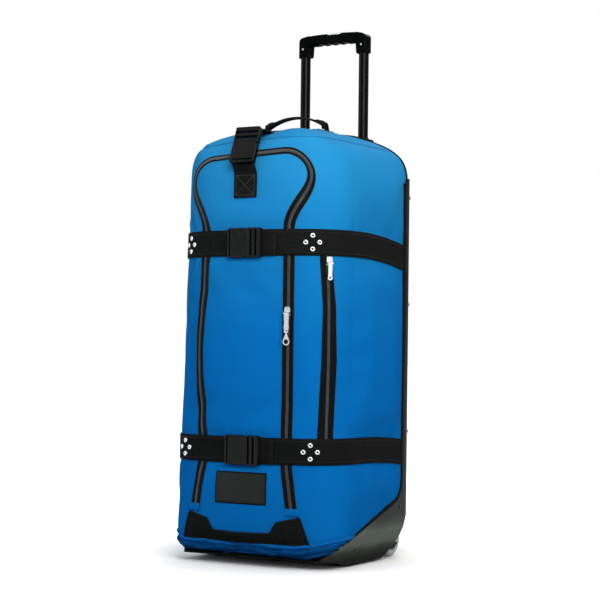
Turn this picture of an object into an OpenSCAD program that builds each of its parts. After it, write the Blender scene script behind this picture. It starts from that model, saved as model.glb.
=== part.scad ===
// Rolling duffel bag: a soft zipped body on a moulded kick tray, with two
// compression straps, inline wheels and a telescopic pull handle.
// Upright on the floor: +Z up, -Y the front with the main zip, +X the
// viewer's right. The origin is on the floor under the middle of the bag.

/* [Bag body] */
// Width of the fabric body
body_w = 363; // [320:1:440]
// Reach of the front face ahead of the origin
front_d = 185; // [165:1:225]
// Reach of the fabric back behind the origin
back_d = 172; // [160:1:210]
// Height of the crest of the top above the floor
crest_z = 868; // [720:1:1050]
// Radius of the bow of the front face, seen from above
bow_r = 560; // [450:5:900]
// Radius of the front corners, seen from above
corner_r = 100; // [70:1:120]
// Radius of the rear corners, seen from above
rear_r = 36; // [25:1:45]
// Radius of the arch over the top, seen from the front
arch_r = 300; // [260:5:420]
// Radius of the shoulders, seen from the front
shoulder_r = 55; // [35:1:70]
// Radius of the front edge of the top, seen from the side
brow_r = 90; // [50:1:110]
// Radius of the rear edge of the top, seen from the side
nape_r = 25; // [12:1:35]
// Radius of the toe, the bottom front edge
toe_r = 28; // [20:1:40]
// Radius of the heel, the bottom rear edge above the wheels
heel_r = 140; // [110:1:160]
// Radius that rolls the two rear bottom corners under
heel_corner_r = 120; // [100:1:140]
// Height where the rear bottom corners start to roll under
heel_corner_z = 108; // [95:1:115]
// Thickness of the padded cloth walls
cloth_t = 4; // [2:0.5:6]
// Height of the seam between the base and the front wall
base_seam_z = 46; // [42:1:80]
// Height of the seam between the base and the side and back walls
side_seam_z = 62; // [50:1:90]
// Distance of the shoulder seam below the crest
shoulder_seam_drop = 78; // [60:1:110]
// Place of the seam across the top behind the origin
top_seam_y = 20; // [-20:1:60]

/* [Zips] */
// Half the distance between the legs of the main zip
zip_leg_x = 95; // [70:1:110]
// Distance of the widest part of the main zip from the side of the body
zip_bulb_inset = 47; // [40:1:70]
// Distance of the top of the main zip below the crest
zip_top_drop = 66; // [50:1:90]
// Corner radius of the top of the main zip
zip_bulb_r = 50; // [30:1:60]
// Height of the lower ends of the main zip
zip_end_z = 104; // [90:1:120]
// Spread of the main zip's legs at their lower ends
zip_splay = 16; // [0:1:20]
// Width of the main zip tape
zip_w = 23; // [16:1:30]
// Width of the side pocket zip with its flap
side_zip_w = 32; // [18:1:34]
// Direction of the side pocket zip round the right front corner, degrees
side_zip_a = 52; // [40:1:65]
// Thickness of the zip tapes
zip_t = 1.2; // [0.8:0.1:2]
// Distance of the main slider below the upper strap's middle
main_slider_drop = 133; // [80:1:170]
// Distance of the side slider below the upper strap's middle
side_slider_drop = 36; // [36:1:120]

/* [Sliders and pulls] */
// Width of a slider
slider_w = 13; // [9:0.5:15]
// Height of a slider
slider_h = 18; // [14:0.5:24]
// Depth of a slider's body
slider_d = 4.6; // [3:0.2:6]
// Diameter of the hinge pins on the pulls
pull_pin_d = 2.2; // [1.6:0.1:3]
// Length of the upper link of the main pull
link_l = 35; // [25:1:45]
// Length of the lower ring of the main pull
ring_l = 26; // [18:1:32]
// Length of the side pull
side_pull_l = 33; // [24:1:45]
// Width of the main pull's link
link_w = 10.5; // [7:0.5:12]
// Outer radius of the main pull's ring
ring_r = 7; // [4:0.2:8]
// Thickness of the pulls
pull_t = 2.2; // [1.4:0.1:3]

/* [Straps] */
// Width of the strap webbing
web_w = 51; // [40:1:60]
// Thickness of the strap webbing
web_t = 2; // [1.4:0.1:3]
// Distance of the upper strap's middle below the crest
upper_strap_drop = 243; // [220:1:280]
// Height of the lower strap's middle
lower_strap_z = 225; // [210:1:260]
// Fall of the upper strap towards its rear ends
upper_droop = 16; // [0:1:24]
// Fall of the lower strap towards its rear ends
lower_droop = 9; // [0:1:24]
// Diameter of the strap rivets
rivet_d = 9.5; // [7:0.5:12]
// Spread of the four rivets from the middle of their diamond
rivet_spread = 13; // [9:0.5:16]
// Direction of the rivets round the front corners, degrees
rivet_a = 34; // [25:1:45]
// Left end of the buckles
buckle_x = -34; // [-60:1:-30]
// Length of a buckle's socket
socket_l = 42; // [36:1:50]
// Length of a buckle's tongue outside the socket
tongue_l = 34; // [28:1:42]
// Width of a buckle
buckle_w = 58; // [54:1:68]
// Thickness of a buckle
buckle_t = 11; // [8:0.5:14]
// Length of the doubled webbing beside a tongue
double_l = 30; // [20:1:45]

/* [Top handle and patches] */
// Half the span of the top handle between its pins
lift_span = 66; // [50:1:80]
// Rise of the top handle above its pins
lift_rise = 24; // [20:1:34]
// Thickness of the top handle
lift_t = 6; // [4:0.5:8]
// Width of the top handle
lift_w = 18; // [12:1:22]
// Diameter of the top handle's pins
lift_pin_d = 4; // [3:0.5:5]
// Width of the label patch
label_w = 114; // [80:1:130]
// Height of the label patch
label_h = 62; // [40:1:66]
// Height of the middle of the label patch
label_z = 152; // [140:1:160]

/* [Kick tray] */
// Wall thickness of the moulded tray
tray_t = 4; // [3:0.5:5]
// Place of the tray's side flanges behind the origin
flange_y = 130; // [120:1:134]
// Distance of the tray's top below the crest
tray_top_drop = 95; // [85:1:140]
// Radius of the sweep where the side flange turns up
sweep_r = 48; // [30:1:60]
// Height of the skids under the tray
skid_h = 2; // [1:0.5:4]
// Length in front of the origin that stands on the floor
skid_front = 60; // [40:1:80]
// Half width of the tray at the floor
foot_half = 166; // [150:1:190]
// Height where the tray's sides reach the full width
flare_z = 64; // [50:1:90]

/* [Wheels] */
// Diameter of a wheel
wheel_d = 72; // [60:1:80]
// Width of a wheel
wheel_w = 24; // [20:1:30]
// Place of the axles behind the origin
axle_y = 142; // [142:1:150]
// Distance of a wheel's middle from the side of the body
wheel_inset = 37.5; // [31:0.5:45]
// Diameter of the axle bolts
axle_d = 8; // [6:0.5:10]
// Diameter of a hub under its tyre
hub_d = 46; // [36:1:50]
// Thickness of the fork cheeks beside a wheel
cheek_t = 4; // [3:0.5:5]
// Room between a wheel and its fork
wheel_room = 3; // [2:0.5:5]

/* [Pull handle] */
// Distance between the two tubes
tube_span = 141; // [110:1:170]
// Place of the tubes behind the origin
tube_y = 153; // [145:0.5:154]
// Diameter of the sliding tubes
inner_tube_d = 21; // [16:0.2:22]
// Wall of all four tubes
tube_wall = 1.5; // [1:0.1:2]
// Room between a sliding tube and its fixed tube
tube_room = 0.5; // [0.35:0.05:0.8]
// Height of the fixed tubes' lower ends
tube_foot_z = 152; // [150:1:200]
// Travel of the handle
travel = 170; // [120:1:172]
// Length of sliding tube left in the fixed tube at full height
overlap = 300; // [200:5:320]
// Height of the grip's brackets above the crest when the handle is down
park_gap = 1; // [0.5:0.5:20]
// Height of a grip bracket
bracket_h = 43; // [36:1:50]
// Width of a grip bracket
bracket_w = 26; // [25:1:32]
// Depth of the grip, front to back
grip_d = 24; // [23:1:34]
// Thickness of the grip's bar
bar_h = 25; // [22:1:30]
// Rise of the grip's bar above its brackets
bar_arch = 5; // [2:0.5:8]
// Length of the release button
button_l = 30; // [20:1:36]
// Width of the release button
button_w = 15; // [9:0.5:16]
// Travel of the release button
button_travel = 4; // [2:0.5:5]

/* [Fits] */
// Gap between pieces that move past each other
run_gap = 0.4; // [0.3:0.05:0.6]
// Radial clearance of hinge pins and axles
pin_gap = 0.05; // [0.02:0.01:0.1]
// Gap between pieces that are pushed together
seat_gap = 0.1; // [0.05:0.05:0.3]

/* [Hidden] */
$fn = 48;

half_w = body_w / 2;
base_z = skid_h + tray_t;
// centre of the right front corner in plan, tangent to the bow of the front
corner_x = half_w - corner_r;
bow_cy = bow_r - front_d;
corner_y = bow_cy - sqrt(pow(bow_r - corner_r, 2) - pow(corner_x, 2));
bow_a = atan2(corner_x, bow_cy - corner_y);
// the side profiles stand a little outside the plan so that faces cross
slack = 1;
rear_y = back_d - rear_r;
heel_corner_a = 31;
heel_corner_u = (half_w - rear_r) * cos(heel_corner_a) + rear_y * sin(heel_corner_a) + rear_r + slack;
shoulder_x = half_w + slack - shoulder_r;
arch_cz = crest_z - arch_r;
shoulder_cz = arch_cz + sqrt(pow(arch_r - shoulder_r, 2) - pow(shoulder_x, 2));
shoulder_a = atan2(shoulder_cz - arch_cz, shoulder_x);
brow_y = -(front_d + slack) + brow_r;
brow_z = crest_z + slack - brow_r;
shoulder_seam_z = crest_z - shoulder_seam_drop;
upper_strap_z = crest_z - upper_strap_drop;
strap_in = zip_t + seat_gap;
strap_out = strap_in + web_t;
axle_z = wheel_d / 2;
wheel_x = half_w - wheel_inset;
fork_half = wheel_w / 2 + wheel_room + cheek_t;
fork_r = wheel_d / 2 + wheel_room + 6;
bolt_head_r = axle_d / 2 + 1.6;
fixed_r = inner_tube_d / 2 + tube_room + tube_wall;
bracket_z = crest_z + travel + park_gap;
bar_top = bracket_z + bracket_h + bar_arch;
main_slider_z = upper_strap_z - main_slider_drop;
side_slider_z = upper_strap_z - side_slider_drop;
pin_z = -slider_h / 2 + 5.5;
pin_y = -(run_gap + slider_d + 3);
eye_r = pull_pin_d / 2 + 1.5;

// points of an arc about [cx, cy]
function arc(cx, cy, r, a0, a1, n) =
  [for (i = [0:n]) let(a = a0 + (a1 - a0) * i / n) [cx + r * cos(a), cy + r * sin(a)]];
function flipped(pts) = [for (i = [len(pts) - 1:-1:0]) [-pts[i][0], pts[i][1]]];
function rounded(w, h, r, n = 4) = concat(
  arc(w / 2 - r, -h / 2 + r, r, -90, 0, n), arc(w / 2 - r, h / 2 - r, r, 0, 90, n),
  arc(-w / 2 + r, h / 2 - r, r, 90, 180, n), arc(-w / 2 + r, -h / 2 + r, r, 180, 270, n));

// the body's outline seen from above, grown by d
function plan(d) = concat(
  arc(0, bow_cy, bow_r + d, -90, -90 + bow_a, 4),
  [for (p = [1:8]) let(a = -90 + bow_a + (90 - bow_a) * p / 8)
    [corner_x + (corner_r + d) * cos(a), corner_y + (corner_r + d) * sin(a)]],
  arc(half_w - rear_r, rear_y, rear_r + d, 0, 90, 5),
  flipped(arc(half_w - rear_r, rear_y, rear_r + d, 0, 90, 5)),
  flipped(arc(corner_x, corner_y, corner_r + d, -90 + bow_a, 0, 8)),
  [for (p = [1:3]) let(a = -90 - bow_a * (4 - p) / 4)
    [(bow_r + d) * cos(a), bow_cy + (bow_r + d) * sin(a)]]);
// half of its outline seen from the front, from the floor up to the crest
function arch_half(d) = concat(
  [[foot_half + d, base_z - d], [half_w + slack + d, flare_z]],
  arc(shoulder_x, shoulder_cz, shoulder_r + d, 0, shoulder_a, 5),
  [for (p = [1:5]) let(a = shoulder_a + (90 - shoulder_a) * p / 6)
    [(arch_r + d) * cos(a), arch_cz + (arch_r + d) * sin(a)]]);
function arch(d) = concat(arch_half(d), [[0, crest_z + d]], flipped(arch_half(d)));
// its outline seen from the side: toe, sole, heel, nape and brow
function profile(d) = concat(
  arc(-(front_d + slack) + toe_r, base_seam_z, toe_r + d, 180, 270, 5),
  [[-skid_front - 68, base_seam_z - toe_r - d], [-skid_front, base_z - d]],
  arc(back_d + slack - heel_r, base_z + heel_r - 7, heel_r + d, -68, 0, 8),
  arc(back_d + slack - nape_r, crest_z + slack - nape_r, nape_r + d, 0, 90, 4),
  arc(brow_y, brow_z, brow_r + d, 90, 180, 8));

// front surface at x, grown by d, and the direction it faces
function on_bow(x) = abs(x) <= bow_r * sin(bow_a);
function front_y(x, d) = on_bow(x) ? bow_cy - sqrt(pow(bow_r + d, 2) - x * x)
  : corner_y - sqrt(pow(corner_r + d, 2) - pow(abs(x) - corner_x, 2));
function front_a(x) = on_bow(x) ? asin(x / bow_r) : sign(x) * asin((abs(x) - corner_x) / corner_r);

module along_x(l) { rotate([90, 0, 90]) linear_extrude(l, center = true) children(); }
module along_y(l) { rotate([90, 0, 0]) linear_extrude(l, center = true) children(); }
module rod_x(r, x0, x1) { translate([x0, 0, 0]) rotate([0, 90, 0]) cylinder(h = x1 - x0, r = r); }
module both() {
  children();
  mirror([1, 0, 0]) children();
}
module side(s) { mirror([s < 0 ? 1 : 0, 0, 0]) children(); }

// the room that a rear bottom corner leaves as it rolls under, seen along the corner's face
module heel_corner(s, d) {
  side(s) rotate([0, 0, heel_corner_a]) along_y(1000) polygon(concat(
    [[-600, heel_corner_z - heel_corner_r - d]],
    arc(heel_corner_u - heel_corner_r, heel_corner_z, heel_corner_r + d, -78, 0, 8),
    [[heel_corner_u + d, 1300], [-600, 1300]]));
}
// the body as one solid, grown by d
module bag(d) {
  intersection() {
    translate([0, 0, -20]) linear_extrude(crest_z + 60) polygon(plan(d));
    along_y(1000) polygon(arch(d));
    along_x(1000) polygon(profile(d));
    heel_corner(1, d);
    heel_corner(-1, d);
  }
}
module skin(d0, d1) {
  difference() {
    bag(d1);
    bag(d0);
  }
}
// a piece of a skin inside an outline drawn on the front
module front_skin(d0, d1, pts) {
  intersection() {
    skin(d0, d1);
    translate([0, -250, 0]) along_y(500) polygon(pts);
  }
}
module wheel_rooms(grow) {
  both() translate([wheel_x, axle_y, axle_z]) {
    rod_x(fork_r + grow, -fork_half - grow, fork_half + grow);
    // a round recess for the bolt's head
    rod_x(bolt_head_r + 1.2, 0, fork_half + 40);
  }
}
// one wall of the body, between seams drawn on the side view
module wall(pts) {
  difference() {
    intersection() {
      skin(-cloth_t, 0);
      along_x(1000) polygon(pts);
    }
    wheel_rooms(0);
  }
}
module half_space(s) { translate([s * 500, 0, 500]) cube([1000, 1000, 1400], center = true); }

// centre line of the main zip's right half, from its end up to the middle of the top
zip_bulb_x = half_w - zip_bulb_inset;
zip_top_z = crest_z - zip_top_drop;
zip_neck_z = upper_strap_z + web_w / 2;
zip_bulb_z = zip_top_z - zip_bulb_r;
zip_splay_z = lower_strap_z - web_w / 2;
function zip_half(e) = concat(
  [[zip_leg_x + zip_splay + e, zip_end_z], [zip_leg_x + e, zip_splay_z], [zip_leg_x + e, zip_neck_z]],
  [for (i = [1:7]) let(s = i / 8, slope = (zip_bulb_x - zip_leg_x) * 90 * sin(180 * s) * PI / 180
      / (zip_bulb_z - zip_neck_z), k = 1 / sqrt(1 + slope * slope))
    [zip_leg_x + (zip_bulb_x - zip_leg_x) * (1 - cos(180 * s)) / 2 + e * k,
     zip_neck_z + (zip_bulb_z - zip_neck_z) * s - e * slope * k]],
  arc(zip_bulb_x - zip_bulb_r, zip_bulb_z, zip_bulb_r + e, 0, 90, 6));
function zip_outline(e) = concat(zip_half(e), flipped(zip_half(e)));

front_wall = [[-400, base_seam_z], [corner_y, base_seam_z], [corner_y, shoulder_seam_z],
  [top_seam_y, shoulder_seam_z], [top_seam_y, 1300], [-400, 1300]];
side_wall = [[corner_y, side_seam_z], [rear_y, side_seam_z], [rear_y, shoulder_seam_z],
  [corner_y, shoulder_seam_z]];

module front_panel() {
  color("#1568b4") difference() {
    wall(front_wall);
    translate([0, -250, 0]) along_y(500) polygon(zip_outline(0));
  }
}
module front_flap() {
  color("#1a6cba") intersection() {
    wall(front_wall);
    translate([0, -250, 0]) along_y(500) polygon(zip_outline(0));
  }
}
module side_panel(s) {
  color("#186ab8") intersection() {
    wall(side_wall);
    half_space(s);
  }
}
module left_side_panel() { side_panel(-1); }
module right_side_panel() { side_panel(1); }
module top_panel() {
  color("#1a70be") difference() {
    wall([[top_seam_y, shoulder_seam_z], [400, shoulder_seam_z], [400, 1300], [top_seam_y, 1300]]);
    both() translate([tube_span / 2, tube_y, 0]) cylinder(h = 1300, r = fixed_r + seat_gap);
  }
}
module base_panel() {
  color("#1460a8") wall([[-400, -50], [400, -50], [400, side_seam_z],
    [corner_y, side_seam_z], [corner_y, base_seam_z], [-400, base_seam_z]]);
}
module back_panel() {
  color("#1460a8") wall([[rear_y, side_seam_z], [400, side_seam_z], [400, shoulder_seam_z],
    [rear_y, shoulder_seam_z]]);
}

module main_zip() {
  inner = zip_half(-zip_w / 2);
  // the cut inside the tape runs on below its ends
  below = [inner[0][0], zip_end_z - 9];
  color("#17181a") difference() {
    front_skin(0, zip_t, zip_outline(zip_w / 2));
    translate([0, -250, 0]) along_y(600)
      polygon(concat([below], inner, flipped(inner), [[-below[0], below[1]]]));
  }
}
module side_zip() {
  half_a = side_zip_w / 2 / corner_r * 180 / PI;
  reach = 2 * corner_r;
  color("#17181a") intersection() {
    skin(0, zip_t);
    translate([corner_x, corner_y, lower_strap_z + web_w / 2 + 1])
      linear_extrude(upper_strap_z - lower_strap_z - web_w - 2) polygon([[0, 0],
        [reach * sin(side_zip_a - half_a), -reach * cos(side_zip_a - half_a)],
        [reach * sin(side_zip_a + half_a), -reach * cos(side_zip_a + half_a)]]);
  }
}

// a slider stands on the tape in its own frame: -Y away from the cloth
module on_main_zip() {
  translate([zip_leg_x, front_y(zip_leg_x, zip_t), main_slider_z]) rotate([0, 0, front_a(zip_leg_x)])
    children();
}
module on_side_zip() {
  r = corner_r + zip_t;
  translate([corner_x + r * sin(side_zip_a), corner_y - r * cos(side_zip_a), side_slider_z])
    rotate([0, 0, side_zip_a]) children();
}
module slider() {
  w = slider_w / 2;
  h = slider_h / 2;
  translate([0, -run_gap - slider_d / 2, 0]) along_y(slider_d) polygon([[-w + 1.5, -h], [w - 1.5, -h],
    [w, -h + 2], [w - 0.6, h - 4], [w - 2, h], [-w + 2, h], [-w + 0.6, h - 4], [-w, -h + 2]]);
  // two lugs hold the pin that the pull turns on
  for (s = [-1, 1]) translate([s * (w - 1.1), 0, 0]) intersection() {
    translate([0, -run_gap - slider_d - 2.4, pin_z]) cube([1.6, 5, 5], center = true);
    union() {
      translate([0, pin_y, pin_z]) rod_x(2.3, -1, 1);
      translate([0, pin_y + 2, pin_z]) cube([2, 4, 4.4], center = true);
    }
  }
  translate([0, pin_y, pin_z]) rod_x(pull_pin_d / 2, -w + 1, w - 1);
}
// a plate that hangs from its eye; x, z outline below the pin
module eye(w) {
  difference() {
    rod_x(eye_r, -w / 2, w / 2);
    rod_x(pull_pin_d / 2 + pin_gap, -w, w);
  }
}
pull_eye_w = slider_w - 4.6;
module plate(pts) { along_y(pull_t) polygon(pts); }
module hang(w, l, hole) {
  eye(w);
  difference() {
    plate(concat([[-w / 2, -eye_r + 0.3], [-w / 2 + 0.4, -l + w]],
      arc(0, -l + w * 0.62, w * 0.62, 200, 340, 8), [[w / 2 - 0.4, -l + w], [w / 2, -eye_r + 0.3]]));
    translate([0, 0, -l + w * 0.62]) rotate([90, 0, 0]) cylinder(h = 20, r = hole, center = true);
  }
}
ring_pin_z = -link_l;
ring_eye_w = 3;
module main_slider() { color("#d8dadc") on_main_zip() slider(); }
module main_pull() {
  w = pull_eye_w;
  lug = (w - ring_eye_w) / 2 - 0.3;
  // half of the link's outline: an eye, a waist between two shoulders and the fork
  half = [[w / 2, -eye_r + 0.3], [link_w / 2, -eye_r - 4], [link_w / 2 - 0.8, -link_l / 2],
    [link_w / 2, ring_pin_z + eye_r + 4], [w / 2, ring_pin_z + eye_r + 0.8]];
  color("#d8dadc") on_main_zip() translate([0, pin_y, pin_z]) {
    eye(w);
    plate(concat(half, flipped(half)));
    // fork and pin for the ring below
    for (s = [-1, 1]) translate([s * (w - lug) / 2, 0, ring_pin_z]) {
      rod_x(eye_r - 0.4, -lug / 2, lug / 2);
      translate([0, 0, (eye_r + 1) / 2]) cube([lug, pull_t, eye_r + 1], center = true);
    }
    translate([0, 0, ring_pin_z]) rod_x(pull_pin_d / 2, -w / 2 + lug / 2, w / 2 - lug / 2);
  }
}
module main_pull_ring() {
  w = ring_eye_w / 2;
  middle = -ring_l + ring_r;
  color("#d8dadc") on_main_zip() translate([0, pin_y, pin_z + ring_pin_z]) {
    eye(ring_eye_w);
    difference() {
      plate(concat([[-w, -eye_r + 0.3], [-w, -eye_r - 1]], arc(0, middle, ring_r, 150, 390, 12),
        [[w, -eye_r - 1], [w, -eye_r + 0.3]]));
      translate([0, 0, middle]) rotate([90, 0, 0]) cylinder(h = 20, r = ring_r - 2.4, center = true);
    }
  }
}
module side_slider() { color("#d8dadc") on_side_zip() slider(); }
module side_pull() {
  color("#d8dadc") on_side_zip() translate([0, pin_y, pin_z]) hang(pull_eye_w, side_pull_l, 1.8);
}

// the band of a strap in the side view: level round the front, falling along the side
strap_end_y = flange_y - 8;
droop_y = -60;
function band_edge(z, fall) = concat([[-400, z]], [for (i = [0:5])
  [droop_y + (strap_end_y - droop_y) * i / 5, z - fall * i * i / 25]]);
function band(z, fall) = concat(band_edge(z - web_w / 2, fall),
  [for (i = [6:-1:0]) band_edge(z + web_w / 2, fall)[i]]);
// webbing that lies round the body between two places across it
module webbing(z, fall, x0, x1, d0, d1) {
  intersection() {
    skin(d0, d1);
    translate([x0, -500, 0]) cube([x1 - x0, 1000, crest_z]);
    along_x(1000) polygon(band(z, fall));
  }
}
tongue_end = buckle_x + socket_l + tongue_l;
module strap_left(z, fall) {
  color("#141517") webbing(z, fall, -400, buckle_x - seat_gap, strap_in, strap_out);
}
module strap_right(z, fall) {
  x = tongue_end + 3 * seat_gap;
  color("#141517") {
    webbing(z, fall, x, 400, strap_in, strap_out);
    webbing(z, fall, x, x + double_l, strap_out, strap_out + web_t);
  }
}
module upper_strap_left() { strap_left(upper_strap_z, upper_droop); }
module upper_strap_right() { strap_right(upper_strap_z, upper_droop); }
module lower_strap_left() { strap_left(lower_strap_z, lower_droop); }
module lower_strap_right() { strap_right(lower_strap_z, lower_droop); }

// side-release buckle, lying along X with its back on Y = 0 and its left end at X = 0
buckle_wall = 2;
prong_l = socket_l - 12;
module buckle_socket() {
  inner = buckle_w - 8;
  difference() {
    translate([socket_l / 2, -buckle_t / 2, 0]) intersection() {
      along_y(buckle_t) polygon(rounded(socket_l, buckle_w, 6));
      along_x(100) polygon(rounded(buckle_t, buckle_w, 3.5));
    }
    // pocket for the tongue, open to the right
    translate([9.5, -buckle_t + buckle_wall, -inner / 2])
      cube([socket_l, buckle_t - 2 * buckle_wall, inner]);
    // windows at both edges where the prongs snap out
    for (s = [-1, 1]) translate([socket_l - 26, -buckle_t / 2, s * buckle_w / 2])
      cube([17, buckle_t - 2 * buckle_wall, 12], center = true);
    // slot behind the bar that the webbing turns round
    translate([6.2, -buckle_t / 2, 0]) cube([3.2, 3 * buckle_t, web_w + 1], center = true);
  }
}
module buckle_tongue() {
  room = 0.5;
  inner = buckle_w - 8 - 2 * room;
  thick = buckle_t - 2 * buckle_wall - 2 * room;
  mid = -buckle_t / 2;
  x0 = socket_l + 2 * seat_gap;
  difference() {
    union() {
      translate([x0 + tongue_l / 2, mid, 0]) intersection() {
        along_y(buckle_t) polygon(rounded(tongue_l, buckle_w, 5));
        along_x(100) polygon(rounded(buckle_t, buckle_w, 3));
      }
      // two prongs with barbs and a guide between them
      for (s = [-1, 1]) {
        translate([x0 - prong_l, mid - thick / 2, s > 0 ? inner / 2 - 6 : -inner / 2])
          cube([prong_l + 1, thick, 6]);
        translate([0, mid, 0]) along_y(thick) polygon([[socket_l - 33, s * (inner / 2 - 1)],
          [socket_l - 19, s * (inner / 2 + 3.6)], [socket_l - 19, s * (inner / 2 - 1)]]);
      }
      translate([x0 - prong_l + 4, mid - thick / 2, -3]) cube([prong_l, thick, 6]);
    }
    // two slots leave the ladder bars that the webbing is laced round
    for (x = [12, 23]) translate([x0 + x, -buckle_t / 2, 0])
      cube([5, 3 * buckle_t, web_w], center = true);
    // finger grooves between the ridges
    for (x = [5.5, 16.5, 28]) translate([x0 + x, -buckle_t - 0.6, 0]) rotate([0, 0, 45])
      cube([2.4, 2.4, buckle_w + 10], center = true);
  }
}
module on_strap(z) { translate([buckle_x, -(front_d + strap_in + 0.5), z]) children(); }
module upper_buckle_socket() { color("#101113") on_strap(upper_strap_z) buckle_socket(); }
module upper_buckle_tongue() { color("#101113") on_strap(upper_strap_z) buckle_tongue(); }
module lower_buckle_socket() { color("#101113") on_strap(lower_strap_z) buckle_socket(); }
module lower_buckle_tongue() { color("#101113") on_strap(lower_strap_z) buckle_tongue(); }

module rivet(d, h) {
  rotate([90, 0, 0]) difference() {
    union() {
      cylinder(h = h * 0.55, r = d / 2);
      cylinder(h = h, r1 = d / 2, r2 = d / 3);
    }
    translate([0, 0, h * 0.6]) cylinder(h = h, r = d / 6);
  }
}
module strap_rivets() {
  r = corner_r + strap_out;
  da = rivet_spread / r * 180 / PI;
  color("#c9ccd0") for (z = [upper_strap_z, lower_strap_z]) both()
    for (k = [[-da, 0], [da, 0], [0, -rivet_spread], [0, rivet_spread]])
      translate([corner_x + r * sin(rivet_a + k[0]), corner_y - r * cos(rivet_a + k[0]), z + k[1]])
        rotate([0, 0, rivet_a + k[0]]) rivet(rivet_d, 2);
}

// top strap over the brow, with its own buckle that bridges the curve
top_buckle_a = 21;
top_strap_low = brow_z - 66;
top_total = socket_l + tongue_l;
top_buckle_r = brow_r + web_t + 0.6;
// a place on the buckle's back, l along it from where it touches, in the side view
function on_back(l) = [brow_y - top_buckle_r * cos(top_buckle_a) + l * sin(top_buckle_a),
  brow_z + top_buckle_r * sin(top_buckle_a) + l * cos(top_buckle_a)];
buckle_low = on_back(-top_total / 2 - 3 * seat_gap);
buckle_high = on_back(top_total / 2 + 3 * seat_gap);
// the webbing leaves the front at this height and meets the top at this direction
ramp_z = brow_z - 18;
ramp_a = atan2(buckle_high[1] - brow_z, brow_y - buckle_high[0])
  + acos(brow_r / norm(buckle_high - [brow_y, brow_z]));
ramp_top = [brow_y - brow_r * cos(ramp_a), min(brow_z + brow_r * sin(ramp_a), crest_z)];
module on_brow() {
  low = on_back(-top_total / 2);
  translate([0, low[0], low[1]]) rotate([-top_buckle_a, 0, 0]) rotate([0, -90, 0]) children();
}
module web_strip(pts, d0, d1) {
  intersection() {
    skin(d0, d1);
    translate([-web_w / 2, -600, 0]) cube([web_w, 1200, 1600]);
    along_x(1000) polygon(pts);
  }
}
// straight webbing between two places in the side view
module web_ramp(p, q) {
  n = [p[1] - q[1], q[0] - p[0]] * web_t / norm(q - p);
  along_x(web_w) polygon([p, q, q + n, p + n]);
}
function on_front(z0, z1) = [[-400, z0], [brow_y, z0], [brow_y, z1], [-400, z1]];
module top_strap_front() {
  front = -front_d - 0.2;
  color("#141517") {
    web_strip(on_front(top_strap_low, ramp_z + 2), 0, web_t);
    // doubled end that is sewn to the front
    web_strip(on_front(top_strap_low, top_strap_low + web_w), web_t, 1.5 * web_t);
    web_ramp([front, ramp_z], buckle_low);
  }
}
module top_strap_back() {
  back = top_seam_y - 6;
  color("#141517") {
    web_strip([[ramp_top[0], brow_z], [ramp_top[0], 1600], [back, 1600], [back, brow_z]], 0, web_t);
    difference() {
      web_ramp(buckle_high, ramp_top + [2, 0.4]);
      bag(0);
    }
  }
}
module top_buckle_socket() { color("#101113") on_brow() buckle_socket(); }
module top_buckle_tongue() { color("#101113") on_brow() buckle_tongue(); }

// top handle: an arch that folds on two pins
lift_z = arch_cz + sqrt(pow(arch_r, 2) - pow(lift_span, 2)) + 8;
lift_eye_r = lift_pin_d / 2 + 2.6;
lift_neck = 7;
function lift_arc(rise, span) = let(r = (rise * rise + span * span) / (2 * rise), a = asin(span / r))
  arc(0, lift_z + rise - r, r, 90 + a, 90 - a, 12);
function backwards(pts) = [for (i = [len(pts) - 1:-1:0]) pts[i]];
// the handle seen from above: narrow at its eyes, full width in the hand
lift_half = [[lift_span - 22, -lift_w / 2], [lift_span - 9, -lift_eye_r], [lift_span + 9, -lift_eye_r],
  [lift_span + 9, lift_eye_r], [lift_span - 9, lift_eye_r], [lift_span - 22, lift_w / 2]];
module top_handle() {
  color("#131416") {
    intersection() {
      along_y(lift_w) polygon(concat(lift_arc(lift_rise, lift_span + lift_neck / 2),
        backwards(lift_arc(lift_rise - lift_t, lift_span - lift_neck / 2))));
      linear_extrude(2000) polygon(concat(lift_half, flipped(lift_half)));
      difference() {
        translate([-500, -500, lift_z]) cube([1000, 1000, 500]);
        translate([0, 0, lift_z]) rod_x(lift_eye_r - 0.5, -500, 500);
      }
    }
    both() translate([lift_span, 0, lift_z]) difference() {
      rod_x(lift_eye_r, -lift_neck / 2, lift_neck / 2);
      rod_x(lift_pin_d / 2 + pin_gap, -lift_neck, lift_neck);
    }
  }
}
module top_handle_anchor(s) {
  lug_x = lift_span + lift_neck / 2 + run_gap;
  color("#2a2c2f") side(s) {
    intersection() {
      skin(0, 2);
      translate([lift_span - 8, -13, lift_z - 30]) cube([22, 26, 60]);
    }
    difference() {
      translate([lug_x, 0, 0]) rotate([90, 0, 90]) linear_extrude(4) polygon(concat(
        [[-9, lift_z - 14], [9, lift_z - 14]], arc(0, lift_z, lift_eye_r, 20, 160, 8)));
      bag(2);
    }
    translate([0, 0, lift_z]) rod_x(lift_pin_d / 2, lift_span - lift_neck / 2, lug_x + 1);
  }
}
module top_handle_anchor_left() { top_handle_anchor(-1); }
module top_handle_anchor_right() { top_handle_anchor(1); }

// foot handle: a band along the base seam with a wing under each end of the main zip
foot_top_x = zip_leg_x + zip_splay + zip_w / 2 + 3.5;
foot_end = foot_top_x + 17.5;
foot_wing = [[60, base_seam_z + 1], [foot_end, base_seam_z + 2], [foot_top_x, zip_end_z - 1],
  [zip_leg_x - 17, zip_end_z - 13], [zip_leg_x - 31, base_seam_z + 23]];
module foot_handle() { color("#131416") front_skin(0, 4, concat(foot_wing, flipped(foot_wing))); }
module label_patch() {
  w = label_w / 2;
  low = label_z - label_h / 2;
  high = label_z + label_h / 2;
  color("#2b2d30") front_skin(0, 1.2, [[-w, low], [w, low], [w, high], [-w, high]]);
}

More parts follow.
